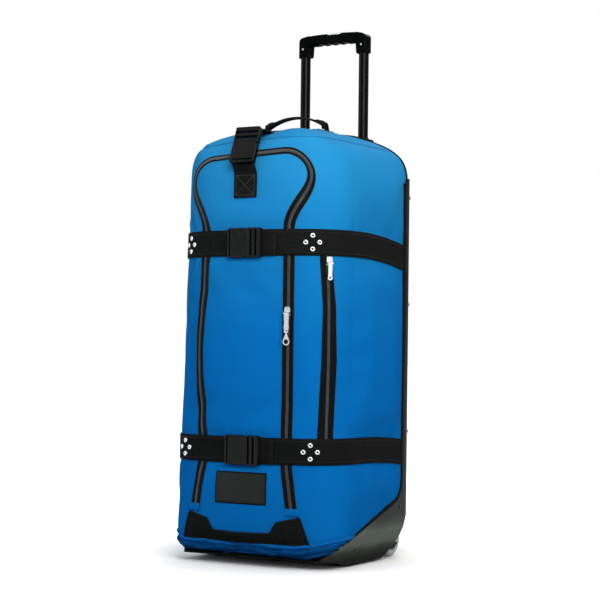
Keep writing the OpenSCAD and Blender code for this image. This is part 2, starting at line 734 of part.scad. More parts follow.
// kick tray: a moulded shell under and behind the body, its flanges swept up the sides
lip_y = -(front_d - 37);
lip_z = base_seam_z - toe_r + 3;
// the flange's edge climbs steeply round the front corner, then runs on at this slope
rise_y = lip_y + 30;
rise_z = lip_z + 20;
sweep_a = 18.5;
sweep_y = flange_y - sweep_r;
sweep_z = rise_z + tan(sweep_a) * (sweep_y + sweep_r * sin(sweep_a) - rise_y) + sweep_r * cos(sweep_a);
tray_top_z = crest_z - tray_top_drop;
tray_outline = concat([[lip_y, -50], [lip_y, lip_z], [rise_y, rise_z]],
  arc(sweep_y, sweep_z, sweep_r, sweep_a - 90, 0, 8),
  arc(flange_y + 24, tray_top_z - 24, 24, 180, 90, 4), [[400, tray_top_z], [400, -50]]);
skid_x = foot_half - 30;
module kick_tray() {
  color("#1c1d1f") difference() {
    union() {
      intersection() {
        skin(0, tray_t);
        along_x(1000) polygon(tray_outline);
      }
      // skids that the bag stands on
      for (x = [-skid_x, 0, skid_x]) translate([x - 9, -skid_front + 2, 0])
        cube([18, skid_front + 68, skid_h + 0.5]);
      // stiffening ribs down the back
      for (x = [-1, 0, 1])
        translate([x * tube_span / 2, back_d + tray_t + 1, (tray_top_z + sweep_z) / 2 + 10])
          cube([14, 3, tray_top_z - sweep_z - 90], center = true);
    }
    wheel_rooms(0);
  }
}
module tray_rivets() {
  flare = atan2(half_w + slack - foot_half, flare_z - base_z);
  r = rear_r + tray_t;
  color("#8d9094") both() {
    for (z = [256, (256 + tray_top_z) / 2, tray_top_z - 40])
      translate([half_w - rear_r + r * cos(27), rear_y + r * sin(27), z]) rotate([0, 0, 117])
        rivet(8, 1.8);
    translate([half_w + tray_t, flange_y - 12, 104]) rotate([0, 0, 90]) rivet(8, 1.8);
    translate([foot_half + tray_t + (32 - base_z + tray_t) * tan(flare), -51, 32])
      rotate([flare, 0, 90]) rivet(8, 1.8);
  }
}

// fork: a shell round the wheel, open behind and below, with two cheeks on the axle
module wheel_fork(s) {
  inner = fork_half - cheek_t;
  reach = axle_d / 2 + 8;
  color("#1a1b1d") side(s) translate([wheel_x, axle_y, axle_z]) difference() {
    intersection() {
      rod_x(fork_r, -fork_half, fork_half);
      union() {
        translate([-wheel_x, -axle_y, -axle_z]) bag(tray_t);
        along_x(2 * fork_half)
          polygon(concat([[-60, 70], [-60, -8]], arc(0, 0, reach, -110, 50, 10), [[0, 70]]));
      }
    }
    rod_x(fork_r - 6, -inner, inner);
    rod_x(axle_d / 2 + seat_gap, -100, 100);
  }
}
module wheel_fork_left() { wheel_fork(-1); }
module wheel_fork_right() { wheel_fork(1); }
module axle_bolt(s) {
  color("#a9adb2") side(s) translate([wheel_x, axle_y, axle_z]) {
    rod_x(axle_d / 2, -fork_half - 6, fork_half + 1);
    // domed head outside, nut inside
    translate([fork_half, 0, 0]) rotate([0, 90, 0]) difference() {
      union() {
        cylinder(h = 2.4, r = bolt_head_r);
        cylinder(h = 3.6, r1 = bolt_head_r, r2 = axle_d / 2);
      }
      translate([0, 0, 1.8]) cylinder(h = 5, r = axle_d / 4, $fn = 6);
    }
    translate([-fork_half - 5, 0, 0]) rotate([0, 90, 0]) cylinder(h = 5, r = bolt_head_r, $fn = 6);
  }
}
module axle_bolt_left() { axle_bolt(-1); }
module axle_bolt_right() { axle_bolt(1); }
module wheel_hub(s) {
  boss = wheel_w / 2 + wheel_room - run_gap;
  r = axle_d / 2;
  w = wheel_w / 2;
  rim = hub_d / 2;
  color("#3a3c40") side(s) translate([wheel_x, axle_y, axle_z]) rotate([0, 90, 0]) difference() {
    rotate_extrude() polygon([[r + pin_gap, -boss], [r + 3, -boss], [r + 5, -w + 3], [rim - 4, -w + 5],
      [rim - 2.5, -w + 1], [rim, -w + 1], [rim, w - 1], [rim - 2.5, w - 1], [rim - 4, w - 5],
      [r + 5, w - 3], [r + 3, boss], [r + pin_gap, boss]]);
    for (k = [0:4]) rotate([0, 0, 72 * k]) translate([(axle_d / 2 + 5 + hub_d / 2 - 4) / 2, 0, -50])
      cylinder(h = 100, r = (hub_d / 2 - axle_d / 2 - 9) / 2 - 0.8);
  }
}
module wheel_hub_left() { wheel_hub(-1); }
module wheel_hub_right() { wheel_hub(1); }
module tyre(s) {
  crown = 9;
  color("#b9bcbd") side(s) translate([wheel_x, axle_y, axle_z]) rotate([0, 90, 0]) rotate_extrude()
    polygon(concat([[hub_d / 2, -wheel_w / 2 + 1]],
      arc(wheel_d / 2 - crown, -wheel_w / 2 + crown, crown, -90, 0, 6),
      arc(wheel_d / 2 - crown, wheel_w / 2 - crown, crown, 0, 90, 6), [[hub_d / 2, wheel_w / 2 - 1]]));
}
module tyre_left() { tyre(-1); }
module tyre_right() { tyre(1); }

// pull handle: two fixed tubes in the back of the bag and a sliding frame
bezel_z = arch_cz + sqrt(pow(arch_r, 2) - pow(tube_span / 2, 2)) + 3.5;
module fixed_tube(s) {
  color("#202224") side(s) translate([tube_span / 2, tube_y, tube_foot_z]) difference() {
    cylinder(h = bezel_z - 1.5 - tube_foot_z, r = fixed_r);
    translate([0, 0, -1]) cylinder(h = bezel_z, r = fixed_r - tube_wall);
  }
}
module fixed_tube_left() { fixed_tube(-1); }
module fixed_tube_right() { fixed_tube(1); }
module tube_foot() {
  front = tube_y - fixed_r - 5;
  color("#26282b") difference() {
    translate([-tube_span / 2 - fixed_r - 6, front, tube_foot_z - 8])
      cube([tube_span + 2 * fixed_r + 12, back_d - cloth_t - front, 30]);
    both() translate([tube_span / 2, tube_y, tube_foot_z]) cylinder(h = 100, r = fixed_r + seat_gap);
    translate([-tube_span / 2 + fixed_r + 8, front - 1, tube_foot_z - 20])
      cube([tube_span - 2 * fixed_r - 16, 18, 60]);
  }
}
module handle_bezel() {
  w = tube_span + 2 * fixed_r + 18;
  color("#17181a") difference() {
    intersection() {
      skin(0, 3.5);
      translate([0, tube_y, 0]) linear_extrude(2000) polygon(rounded(w, 2 * (back_d - tube_y) - 4, 12));
      translate([-500, -500, shoulder_seam_z]) cube([1000, 1000, 500]);
    }
    both() translate([tube_span / 2, tube_y, 0]) {
      cylinder(h = bezel_z - 1.5, r = fixed_r + seat_gap);
      cylinder(h = 2000, r = inner_tube_d / 2 + run_gap);
    }
  }
}
module sliding_tube(s) {
  low = crest_z - 8 - overlap;
  color("#0e0f10") side(s) translate([tube_span / 2, tube_y, low]) difference() {
    cylinder(h = bracket_z + 22 - low, r = inner_tube_d / 2);
    translate([0, 0, -1]) cylinder(h = 2000, r = inner_tube_d / 2 - tube_wall);
  }
}
module sliding_tube_left() { sliding_tube(-1); }
module sliding_tube_right() { sliding_tube(1); }
bar_half = tube_span / 2 - bracket_w / 2;
bracket_taper = 1;
bracket_round = 10;
button_well = 16;
button_step = 4;
screw_sink = 0.6;
module grip_bracket(s) {
  x0 = bar_half;
  x1 = bar_half + bracket_w;
  r = 16;
  b = grip_d / 2 + 1.4;
  top = bracket_z + bracket_h;
  // wide at the bar, narrow where the tube goes in, with a cuff round its mouth
  outline = concat([[x0 + bracket_taper - 0.6, bracket_z], [x1 - bracket_taper + 0.6, bracket_z],
    [x1 - bracket_taper + 0.6, bracket_z + 3], [x1 - bracket_taper, bracket_z + 4], [x1, bracket_z + 18]],
    arc(x1 - r, top - r, r, 0, 84, 6), [[x0, top + bar_arch / 2], [x0, bracket_z + 18],
    [x0 + bracket_taper, bracket_z + 4], [x0 + bracket_taper - 0.6, bracket_z + 3]]);
  color("#141517") side(s) difference() {
    intersection() {
      translate([0, tube_y, 0]) along_y(grip_d + 2) polygon(outline);
      translate([0, tube_y, bracket_z + (bracket_h + bar_arch) / 2]) along_x(1000)
        polygon(rounded(grip_d + 2, bracket_h + bar_arch, 7));
      translate([0, tube_y, 0]) linear_extrude(2000) polygon(concat([[0, -b]],
        arc(x1 + 0.4 - bracket_round, -b + bracket_round, bracket_round, -90, 0, 5),
        arc(x1 + 0.4 - bracket_round, b - bracket_round, bracket_round, 0, 90, 5), [[0, b]]));
    }
    translate([tube_span / 2, tube_y, bracket_z - 1])
      cylinder(h = 23 + seat_gap, r = inner_tube_d / 2 + seat_gap);
    // seats for the screws through the front
    translate([tube_span / 2, tube_y - grip_d / 2 - 1 + screw_sink, bracket_z + 18]) rotate([90, 0, 0])
      cylinder(h = 20, r = 2.4);
  }
}
module grip_bracket_left() { grip_bracket(-1); }
module grip_bracket_right() { grip_bracket(1); }
module grip_bar() {
  x = bar_half - seat_gap;
  scallop = 13;
  fall = bar_arch / 2 + 0.3;
  r = (x * x + fall * fall) / (2 * fall);
  a = asin(x / r);
  color("#17181a") difference() {
    intersection() {
      translate([0, tube_y, 0]) along_y(grip_d) polygon(concat([[-x, bar_top - bar_h],
        [x, bar_top - bar_h]], arc(0, bar_top - r, r, 90 - a, 90 + a, 8)));
      translate([0, tube_y, bar_top - bar_h / 2]) along_x(1000) polygon(rounded(grip_d, bar_h, 9));
    }
    // a shallow step round the button
    translate([0, tube_y, bar_top - button_step]) linear_extrude(10)
      polygon(rounded(button_l + 6, grip_d + 2, 1));
    // finger scallops underneath
    for (k = [-1.5:1:1.5]) translate([k * 19, tube_y, bar_top - bar_h - scallop + 3]) rotate([90, 0, 0])
      cylinder(h = 100, r = scallop, center = true);
    translate([0, tube_y, bar_top - button_well]) linear_extrude(40)
      polygon(rounded(button_l + 2 * run_gap, button_w + 2 * run_gap, 4 + run_gap));
  }
}
module grip_screws() {
  color("#8d9094") both() translate([tube_span / 2, tube_y - grip_d / 2 - 1 + screw_sink, bracket_z + 18])
    rotate([90, 0, 0]) difference() {
      cylinder(h = 1, r = 2.1);
      translate([0, 0, 0.4]) cylinder(h = 2, r = 0.9, $fn = 6);
    }
}
module release_button() {
  low = bar_top - button_well + button_travel + run_gap;
  color("#b4b7ba") translate([0, tube_y, low]) linear_extrude(bar_top - 0.2 - low)
    polygon(rounded(button_l, button_w, 4));
}

front_panel();
front_flap();
left_side_panel();
right_side_panel();
top_panel();
base_panel();
back_panel();
main_zip();
side_zip();
main_slider();
main_pull();
main_pull_ring();
side_slider();
side_pull();
upper_strap_left();
upper_strap_right();
lower_strap_left();
lower_strap_right();
upper_buckle_socket();
upper_buckle_tongue();
lower_buckle_socket();
lower_buckle_tongue();
strap_rivets();
top_strap_front();
top_strap_back();
top_buckle_socket();
top_buckle_tongue();
top_handle();
top_handle_anchor_left();
top_handle_anchor_right();
foot_handle();
label_patch();
kick_tray();
tray_rivets();
wheel_fork_left();
wheel_fork_right();
axle_bolt_left();
axle_bolt_right();
wheel_hub_left();
wheel_hub_right();
tyre_left();
tyre_right();
fixed_tube_left();
fixed_tube_right();
tube_foot();
handle_bezel();
sliding_tube_left();
sliding_tube_right();
grip_bracket_left();
grip_bracket_right();
grip_bar();
grip_screws();
release_button();
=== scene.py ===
"""Looks of the rolling duffel bag around its frame: cloth, webbing, zips, finishes, light and camera."""

import math

import bpy
import numpy as np
from mathutils import Matrix, Vector
from mathutils.bvhtree import BVHTree
from mathutils.kdtree import KDTree


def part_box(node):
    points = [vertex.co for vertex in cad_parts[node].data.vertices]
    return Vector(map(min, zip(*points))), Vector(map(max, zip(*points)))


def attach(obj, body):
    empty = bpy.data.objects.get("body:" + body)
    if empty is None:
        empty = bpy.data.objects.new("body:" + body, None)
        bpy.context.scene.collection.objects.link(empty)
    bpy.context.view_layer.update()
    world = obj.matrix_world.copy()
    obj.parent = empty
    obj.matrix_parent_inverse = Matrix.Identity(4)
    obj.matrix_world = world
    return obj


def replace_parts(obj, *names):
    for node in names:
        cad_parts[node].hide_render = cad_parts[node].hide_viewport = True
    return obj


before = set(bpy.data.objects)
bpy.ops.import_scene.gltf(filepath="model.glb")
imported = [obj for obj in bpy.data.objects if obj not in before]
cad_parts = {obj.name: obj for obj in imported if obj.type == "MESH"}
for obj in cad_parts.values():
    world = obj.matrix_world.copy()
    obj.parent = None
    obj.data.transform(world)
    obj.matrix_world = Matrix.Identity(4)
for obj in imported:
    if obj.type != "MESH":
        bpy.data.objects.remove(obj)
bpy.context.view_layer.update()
MM = 0.001


# Sizes of the body, from the frame where a node shows them, in metres
HALF_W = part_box("front_panel")[1].x
FRONT_D = -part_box("front_panel")[0].y
BACK_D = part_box("back_panel")[1].y
CREST_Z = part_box("front_panel")[1].z
SOLE_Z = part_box("base_panel")[0].z
BASE_SEAM_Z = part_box("front_panel")[0].z
SIDE_SEAM_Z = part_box("base_panel")[1].z
SHOULDER_SEAM_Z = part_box("left_side_panel")[1].z
CORNER_SEAM_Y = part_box("left_side_panel")[0].y
REAR_SEAM_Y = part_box("back_panel")[0].y
TOP_SEAM_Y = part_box("top_panel")[0].y
TRAY_TOP_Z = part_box("kick_tray")[1].z
BOW_R = 560 * MM
CORNER_R = 100 * MM
REAR_R = 36 * MM
ARCH_R = 300 * MM
SHOULDER_R = 55 * MM
BROW_R = 90 * MM
NAPE_R = 25 * MM
TOE_R = 28 * MM
HEEL_R = 140 * MM
HEEL_DROP = 7 * MM
HEEL_START_A = -68
HEEL_CORNER_R = 120 * MM
HEEL_CORNER_Z = 108 * MM
HEEL_CORNER_A = math.radians(31)
HEEL_CORNER_START_A = -78
FOOT_HALF = 166 * MM
FLARE_Z = 64 * MM
SKID_FRONT = 60 * MM
CLOTH_T = 3 * MM

REAR_X = HALF_W - REAR_R
REAR_Y = BACK_D - REAR_R
BOW_Y = BOW_R - FRONT_D
CORNER_X = HALF_W - CORNER_R
CORNER_Y = BOW_Y - math.sqrt((BOW_R - CORNER_R) ** 2 - CORNER_X ** 2)
BOW_A = math.degrees(math.atan2(CORNER_X, BOW_Y - CORNER_Y))
SHOULDER_X = HALF_W - SHOULDER_R
ARCH_Z = CREST_Z - ARCH_R
SHOULDER_Z = ARCH_Z + math.sqrt((ARCH_R - SHOULDER_R) ** 2 - SHOULDER_X ** 2)
SHOULDER_A = math.degrees(math.atan2(SHOULDER_Z - ARCH_Z, SHOULDER_X))
BROW_Y = BROW_R - FRONT_D
BROW_Z = CREST_Z - BROW_R

# Webbing, zips and patches
WEB_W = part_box("top_strap_front")[1].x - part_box("top_strap_front")[0].x
UPPER_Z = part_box("upper_strap_left")[1].z - WEB_W / 2
LOWER_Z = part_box("lower_strap_left")[1].z - WEB_W / 2
UPPER_DROOP = UPPER_Z - WEB_W / 2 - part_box("upper_strap_left")[0].z
LOWER_DROOP = LOWER_Z - WEB_W / 2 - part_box("lower_strap_left")[0].z
DROOP_Y = -60 * MM
WEB_T = 2 * MM
STRAP_LIFT = 1.2 * MM
STRAP_END_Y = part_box("upper_strap_right")[1].y
BUCKLE_X0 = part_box("upper_buckle_socket")[0].x
BUCKLE_X1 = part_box("upper_buckle_tongue")[1].x
ZIP_W = 23 * MM
ZIP_LEG_X = 95 * MM
ZIP_SPLAY = 16 * MM
ZIP_END_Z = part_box("main_zip")[0].z
ZIP_TOP_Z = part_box("main_zip")[1].z - ZIP_W / 2
ZIP_BULB_X = HALF_W - 47 * MM
ZIP_BULB_R = 50 * MM
SIDE_ZIP_A = 52


# Measures and steps used throughout
def unit(rows):
    return rows / np.maximum(np.linalg.norm(rows, axis=-1, keepdims=True), 1e-12)


def lengths(points):
    """How far along a line each of its points lies."""
    return np.concatenate([[0], np.cumsum(np.linalg.norm(np.diff(points, axis=0), axis=1))])


def ease(value, start=0.0, span=1.0):
    """0 up to the start, 1 from a span beyond it, and a smooth climb between."""
    value = np.clip((value - start) / span, 0, 1)
    return value * value * (3 - 2 * value)


def bell(value, width):
    """1 at 0, falling off to both sides over about the width."""
    return np.exp(-(value / width) ** 2)


def waves(place, rows):
    """A sum of waves at a place, each given by its height, its length for one radian and its start."""
    return sum(height * np.sin(place / length + start) for height, length, start in rows)


def add(name, data):
    """A new object in the scene."""
    made = bpy.data.objects.new(name, data)
    bpy.context.scene.collection.objects.link(made)
    return made


# Camera at the photograph's angle
CAMERA_PLACE = Vector((1.836, -3.032, 0.423))
CAMERA_AZIMUTH = math.radians(31)
CAMERA_RISE = math.radians(1.57)
CAMERA_ROLL = math.radians(0.715)
CAMERA_LENS = 105
SENSOR_W = 36


def place_camera():
    forward = Vector((-math.sin(CAMERA_AZIMUTH) * math.cos(CAMERA_RISE),
                      math.cos(CAMERA_AZIMUTH) * math.cos(CAMERA_RISE), math.sin(CAMERA_RISE)))
    level = Vector((math.cos(CAMERA_AZIMUTH), math.sin(CAMERA_AZIMUTH), 0))
    upright = level.cross(forward)
    right = level * math.cos(CAMERA_ROLL) + upright * math.sin(CAMERA_ROLL)
    up = upright * math.cos(CAMERA_ROLL) - level * math.sin(CAMERA_ROLL)
    data = bpy.data.cameras.new("camera")
    data.lens = CAMERA_LENS
    data.sensor_width = SENSOR_W
    data.sensor_fit = "HORIZONTAL"
    camera = add("camera", data)
    turn = Matrix((right, up, -forward)).transposed()
    camera.matrix_world = Matrix.Translation(CAMERA_PLACE) @ turn.to_4x4()
    bpy.context.scene.camera = camera


# Materials
def srgb(code):
    """A colour written as six hex digits, in linear light."""
    parts = [int(code[k:k + 2], 16) / 255 for k in (0, 2, 4)]
    return [c / 12.92 if c <= 0.04045 else ((c + 0.055) / 1.055) ** 2.4 for c in parts] + [1.0]


# Most of a noise texture's values lie between these two
NOISE_LOW = 0.3
NOISE_HIGH = 0.7
# How far apart a wave texture's ridges are at scale 1
WAVE_PITCH = 0.314
EDGE_ROUND = 0.7 * MM


class Nodes:
    """A node tree, with short calls for the nodes used here."""

    def __init__(self, tree):
        self.tree = tree

    def node(self, kind, inputs=(), **settings):
        made = self.tree.nodes.new(kind)
        for key, value in settings.items():
            setattr(made, key, value)
        for key, value in dict(inputs).items():
            if isinstance(value, bpy.types.NodeSocket):
                self.tree.links.new(value, made.inputs[key])
            else:
                made.inputs[key].default_value = value
        return made

    def math(self, operation, a, b):
        return self.node("ShaderNodeMath", {0: a, 1: b}, operation=operation).outputs[0]

    def mapped(self, value, source, target, **settings):
        """A value carried over from one range to another."""
        ends = dict(zip(("From Min", "From Max", "To Min", "To Max"), (*source, *target)))
        return self.node("ShaderNodeMapRange", {"Value": value, **ends}, **settings).outputs["Result"]

    def seen_directly(self):
        """1 for rays that show the stage itself: from the camera, in gloss and through glass."""
        path = self.node("ShaderNodeLightPath").outputs
        found = path["Is Camera Ray"]
        for kind in ("Is Glossy Ray", "Is Transmission Ray"):
            found = self.math("MAXIMUM", found, path[kind])
        return found


class Finish(Nodes):
    """A material, with short calls for what its surface is made of."""

    def __init__(self, name, colour, roughness, **sockets):
        self.material = bpy.data.materials.new(name)
        self.material.use_nodes = True
        super().__init__(self.material.node_tree)
        self.shader = self.tree.nodes["Principled BSDF"]
        self.shader.inputs["Base Color"].default_value = srgb(colour)
        self.shader.inputs["Roughness"].default_value = roughness
        for key, value in sockets.items():
            self.shader.inputs[key.replace("_", " ")].default_value = value
        self.normal = None

    def place(self, kind="Object"):
        return self.node("ShaderNodeTexCoord").outputs[kind]

    def noise(self, size, detail=3.0):
        """Noise whose lumps are about size metres across."""
        inputs = {"Vector": self.place(), "Scale": 1 / size, "Detail": detail}
        return self.node("ShaderNodeTexNoise", inputs).outputs["Fac"]

    def wave(self, pitch, direction, place):
        """A ridge every pitch metres along one axis of the place."""
        inputs = {"Vector": place, "Scale": WAVE_PITCH / pitch, "Distortion": 0.0}
        return self.node("ShaderNodeTexWave", inputs, bands_direction=direction).outputs["Fac"]

    def spread(self, value, low, high):
        """A noise value spread between low and high."""
        return self.mapped(value, (NOISE_LOW, NOISE_HIGH), (low, high))

    def ramp(self, value, stops):
        """A colour that goes with the value, from pairs of a value and a hex colour."""
        made = self.node("ShaderNodeValToRGB", {"Fac": value})
        marks = made.color_ramp.elements
        for mark, (at, code) in zip(marks, (stops[0], stops[-1])):
            mark.position = at
            mark.color = srgb(code)
        for at, code in stops[1:-1]:
            marks.new(at).color = srgb(code)
        return made.outputs["Color"]

    def blend(self, value, low, high):
        """A colour between two hex colours."""
        return self.ramp(value, [(NOISE_LOW, low), (NOISE_HIGH, high)])

    def tones(self, tones, waver):
        """A colour that goes with the height, from pairs of a height and a hex colour."""
        up = self.node("ShaderNodeSeparateXYZ", {"Vector": self.place()}).outputs["Z"]
        uneven = self.spread(self.noise(0.09, 4), -waver, waver)
        return self.ramp(self.math("ADD", up, uneven), tones)

    def colour(self, socket):
        self.tree.links.new(socket, self.shader.inputs["Base Color"])

    def roughness(self, socket):
        self.tree.links.new(socket, self.shader.inputs["Roughness"])

    def round_edges(self):
        """Makes sharp edges catch light as if slightly rounded; bumps come on top of it."""
        self.normal = self.node("ShaderNodeBevel", {"Radius": EDGE_ROUND}, samples=4).outputs["Normal"]

    def bump(self, value, depth):
        """Raises the surface by value times depth metres, on top of what was raised before."""
        inputs = {"Height": value, "Strength": 1.0, "Distance": depth}
        if self.normal:
            inputs["Normal"] = self.normal
        self.normal = self.node("ShaderNodeBump", inputs).outputs["Normal"]
        self.tree.links.new(self.normal, self.shader.inputs["Normal"])


def woven(finish, pitch, depth, place):
    """Over and under threads on a surface's own flat measure."""
    warp = finish.wave(pitch, "X", place)
    weft = finish.wave(pitch, "Y", place)
    finish.bump(finish.math("MAXIMUM", warp, weft), depth)


def cloth_finish(name, tones, wrinkle=0.0):
    """Woven cloth. tones pairs heights with colours, and the cloth blends from one to the next."""
    f = Finish(name, tones[0][1], 0.5, Sheen_Weight=0.02, Sheen_Roughness=0.5, Specular_IOR_Level=0.001)
    f.shader.inputs["Sheen Tint"].default_value = srgb("4ab0f0")
    f.colour(f.tones(tones, 0.02))
    f.roughness(f.spread(f.noise(0.02), 0.46, 0.56))
    f.bump(f.noise(0.05, 5), 0.8 * MM)
    if wrinkle:
        f.bump(f.noise(0.017, 3), wrinkle)
    woven(f, 1.1 * MM, 0.08 * MM, f.place("UV"))
    return f.material


def web_finish():
    f = Finish("webbing", "0f1011", 0.6, Specular_IOR_Level=0.004)
    flat = f.place("UV")
    f.colour(f.blend(f.noise(0.004, 3), "101111", "191a1a"))
    f.bump(f.wave(1.9 * MM, "X", flat), 0.16 * MM)
    f.bump(f.wave(3.2 * MM, "Y", flat), 0.12 * MM)
    f.roughness(f.spread(f.noise(0.012), 0.5, 0.66))
    return f.material


def tape_finish():
    f = Finish("zip_tape", "0c0d0d", 0.6, Specular_IOR_Level=0.015)
    f.colour(f.blend(f.noise(0.003, 3), "090a0a", "121313"))
    woven(f, 0.8 * MM, 0.08 * MM, f.place("UV"))
    return f.material


def coil_finish():
    f = Finish("zip_coil", "222324", 0.4, Specular_IOR_Level=0.25)
    f.colour(f.blend(f.noise(0.02), "3a3b3d", "494a4d"))
    f.bump(f.noise(0.0008, 2), 0.05 * MM)
    return f.material


def thread_finish(name, low, high):
    f = Finish(name, low, 0.55, Specular_IOR_Level=0.06)
    f.colour(f.blend(f.noise(0.002, 2), low, high))
    f.bump(f.noise(0.0006, 2), 0.08 * MM)
    return f.material


def moulded_finish(name, low, high, roughness, grain, depth, gloss):
    """Moulded plastic with a fine grain and a little unevenness in its gloss."""
    f = Finish(name, low, roughness, Specular_IOR_Level=gloss)
    f.round_edges()
    f.colour(f.blend(f.noise(0.05, 4), low, high))
    f.roughness(f.spread(f.noise(0.015), roughness - 0.06, roughness + 0.06))
    f.bump(f.noise(grain, 3), depth)
    return f.material


# The tray's tones by height are painted light: the pale band on the slope near the floor is a painted sheen,
# and the darker tones at the floor and up the flange are painted shade.
TRAY_LIGHT_AND_SHADE_TONES = [(0.0, "141615"), (0.015, "1c1f1d"), (0.03, "333733"), (0.045, "5b625b"), (0.06, "5c635c"),
              (0.075, "464b47"), (0.09, "353937"), (0.13, "303432"), (0.2, "2a2d2c"), (0.32, "232625"),
              (0.5, "161817")]


def tray_finish():
    """Satin plastic in tones that go with the height: a painted sheen, palest on the slope near the floor,
    and painted shade, darker at the floor and up the flange.
    """
    f = Finish("tray_plastic", "1c1f1d", 0.36, Specular_IOR_Level=0.01)
    f.round_edges()
    f.colour(f.tones(TRAY_LIGHT_AND_SHADE_TONES, 0.004))
    f.roughness(f.spread(f.noise(0.015), 0.3, 0.42))
    f.bump(f.noise(0.0011, 3), 0.05 * MM)
    return f.material


def metal_finish(name, low, high, roughness):
    f = Finish(name, low, roughness, Metallic=1.0)
    f.colour(f.blend(f.noise(0.004, 3), low, high))
    f.roughness(f.spread(f.noise(0.002), roughness - 0.05, roughness + 0.08))
    f.bump(f.noise(0.0012, 2), 0.03 * MM)
    return f.material


# The blue cloth's tones by height are painted light: lighter and paler towards the top, a painted highlight
# of the light from above.
CLOTH = cloth_finish("blue_cloth", [(0.42, "0661a8"), (0.6, "0f69a5"), (0.78, "1e77ac"), (0.87, "236c97")])
# The base cloth's dark navy is painted shade: the gusset under the base seam and its folds, darker still
# towards the floor.
SHADED_BASE_CLOTH = cloth_finish("base_cloth", [(0.0, "063a6c"), (0.1, "084478")], 4 * MM)
WELT = cloth_finish("welt_cloth", [(0.0, "0a5498"), (0.1, "0b5aa0")], 2.5 * MM)
WEB = web_finish()
TAPE = tape_finish()
COIL = coil_finish()
BLUE_THREAD = thread_finish("blue_thread", "0a5496", "0e60a8")
# The brow thread is real thread, and its dark navy is also painted shade: it draws the shade line along the
# crease of the top's seam.
BROW_SHADE_THREAD = thread_finish("brow_thread", "063a6c", "084478")
BLACK_THREAD = thread_finish("black_thread", "1c1d1e", "2a2b2c")
BOX_THREAD = thread_finish("box_thread", "3c3e3f", "4a4c4d")
LABEL_CLOTH = thread_finish("label_cloth", "1b1e1d", "222524")
BUCKLE = moulded_finish("buckle_plastic", "0a0b0b", "0f1010", 0.24, 0.0012, 0.02 * MM, 0.1)
TRAY = tray_finish()
MOULDED = moulded_finish("moulded_plastic", "101112", "161718", 0.42, 0.001, 0.05 * MM, 0.03)
ANCHOR = moulded_finish("anchor_plastic", "0c0d0d", "131414", 0.5, 0.001, 0.05 * MM, 0.0)
GRIP = moulded_finish("grip_plastic", "050606", "090a0a", 0.2, 0.0009, 0.02 * MM, 0.003)
TUBE = moulded_finish("black_tube", "030303", "050505", 0.1, 0.003, 0.004 * MM, 0.035)
HUB = moulded_finish("hub_plastic", "2b2d30", "35373a", 0.4, 0.001, 0.04 * MM, 0.4)
URETHANE = moulded_finish("wheel_urethane", "9a9d9e", "a8abab", 0.5, 0.0016, 0.06 * MM, 0.4)
BRIGHT = metal_finish("bright_metal", "b6b9bc", "cfd2d4", 0.16)
RIVET = metal_finish("rivet_metal", "b4b7ba", "c8cacd", 0.18)
# The rivet cores are painted shade and reflection: a dark middle for the bright rivets.
RIVET_SHADE_CORE = moulded_finish("rivet_core", "0a0b0b", "101111", 0.4, 0.001, 0.02 * MM, 0.15)
STEEL = metal_finish("axle_steel", "8e9296", "a4a8ac", 0.32)
BUTTON = moulded_finish("button_plastic", "a9acae", "b7babc", 0.4, 0.001, 0.03 * MM, 0.4)
DARK_RIVET = metal_finish("tray_rivet", "1e2022", "2c2e31", 0.3)


def dress(material, *nodes):
    """Gives frame nodes a finish in place of their plain one."""
    for name in nodes:
        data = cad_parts[name].data
        data.materials.clear()
        data.materials.append(material)


def both(stem):
    return [f"{stem}_left", f"{stem}_right"]


def dress_frame():
    dress(BRIGHT, "main_slider", "main_pull", "main_pull_ring", "side_slider", "side_pull")
    for place in ("upper", "lower", "top"):
        dress(BUCKLE, f"{place}_buckle_socket", f"{place}_buckle_tongue")
    dress(RIVET, "grip_screws")
    dress(DARK_RIVET, "tray_rivets")
    dress(TRAY, "kick_tray")
    dress(MOULDED, "tube_foot", "handle_bezel", *both("wheel_fork"))
    dress(ANCHOR, *both("top_handle_anchor"))
    dress(STEEL, *both("axle_bolt"))
    dress(HUB, *both("wheel_hub"))
    dress(URETHANE, *both("tyre"))
    dress(TUBE, *both("fixed_tube"), *both("sliding_tube"))
    dress(GRIP, "grip_bar", *both("grip_bracket"))
    dress(BUTTON, "release_button")


# Pieces made here
def piece(name, points, faces, material, slot, body="bag", flat=None, normals=None):
    """A smooth mesh that rides on a body. flat holds each point's place on the cloth before it was sewn."""
    mesh = bpy.data.meshes.new(name)
    mesh.from_pydata(np.asarray(points).tolist(), [], [list(f) for f in faces])
    mesh.polygons.foreach_set("use_smooth", [True] * len(mesh.polygons))
    if flat is not None:
        corners = np.zeros(len(mesh.loops), int)
        mesh.loops.foreach_get("vertex_index", corners)
        places = np.asarray(flat, np.float32)[corners]
        mesh.uv_layers.new(name="flat").data.foreach_set("uv", places.ravel())
    if normals is not None:
        mesh.normals_split_custom_set_from_vertices(np.asarray(normals).tolist())
    mesh.materials.append(material)
    made = add(name, mesh)
    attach(made, body)
    return made


# The cloth body: rings of points on the planes that touch its outlines
COLUMNS = 228
RING_STEP = 6 * MM
WALL_LOW = 30 * MM
WALL_HIGH = 700 * MM
TOP_RINGS = 40
SOLE_SHARES = [0.04, 0.16, 0.28, 0.4, 0.52, 0.64, 0.74, 0.82, 0.88, 0.93, 0.965, 0.985]


def mirrored(row):
    """A plane, given by its normal and how far out it lies, and its mirror image in X."""
    return [row, [-row[0], *row[1:]]]


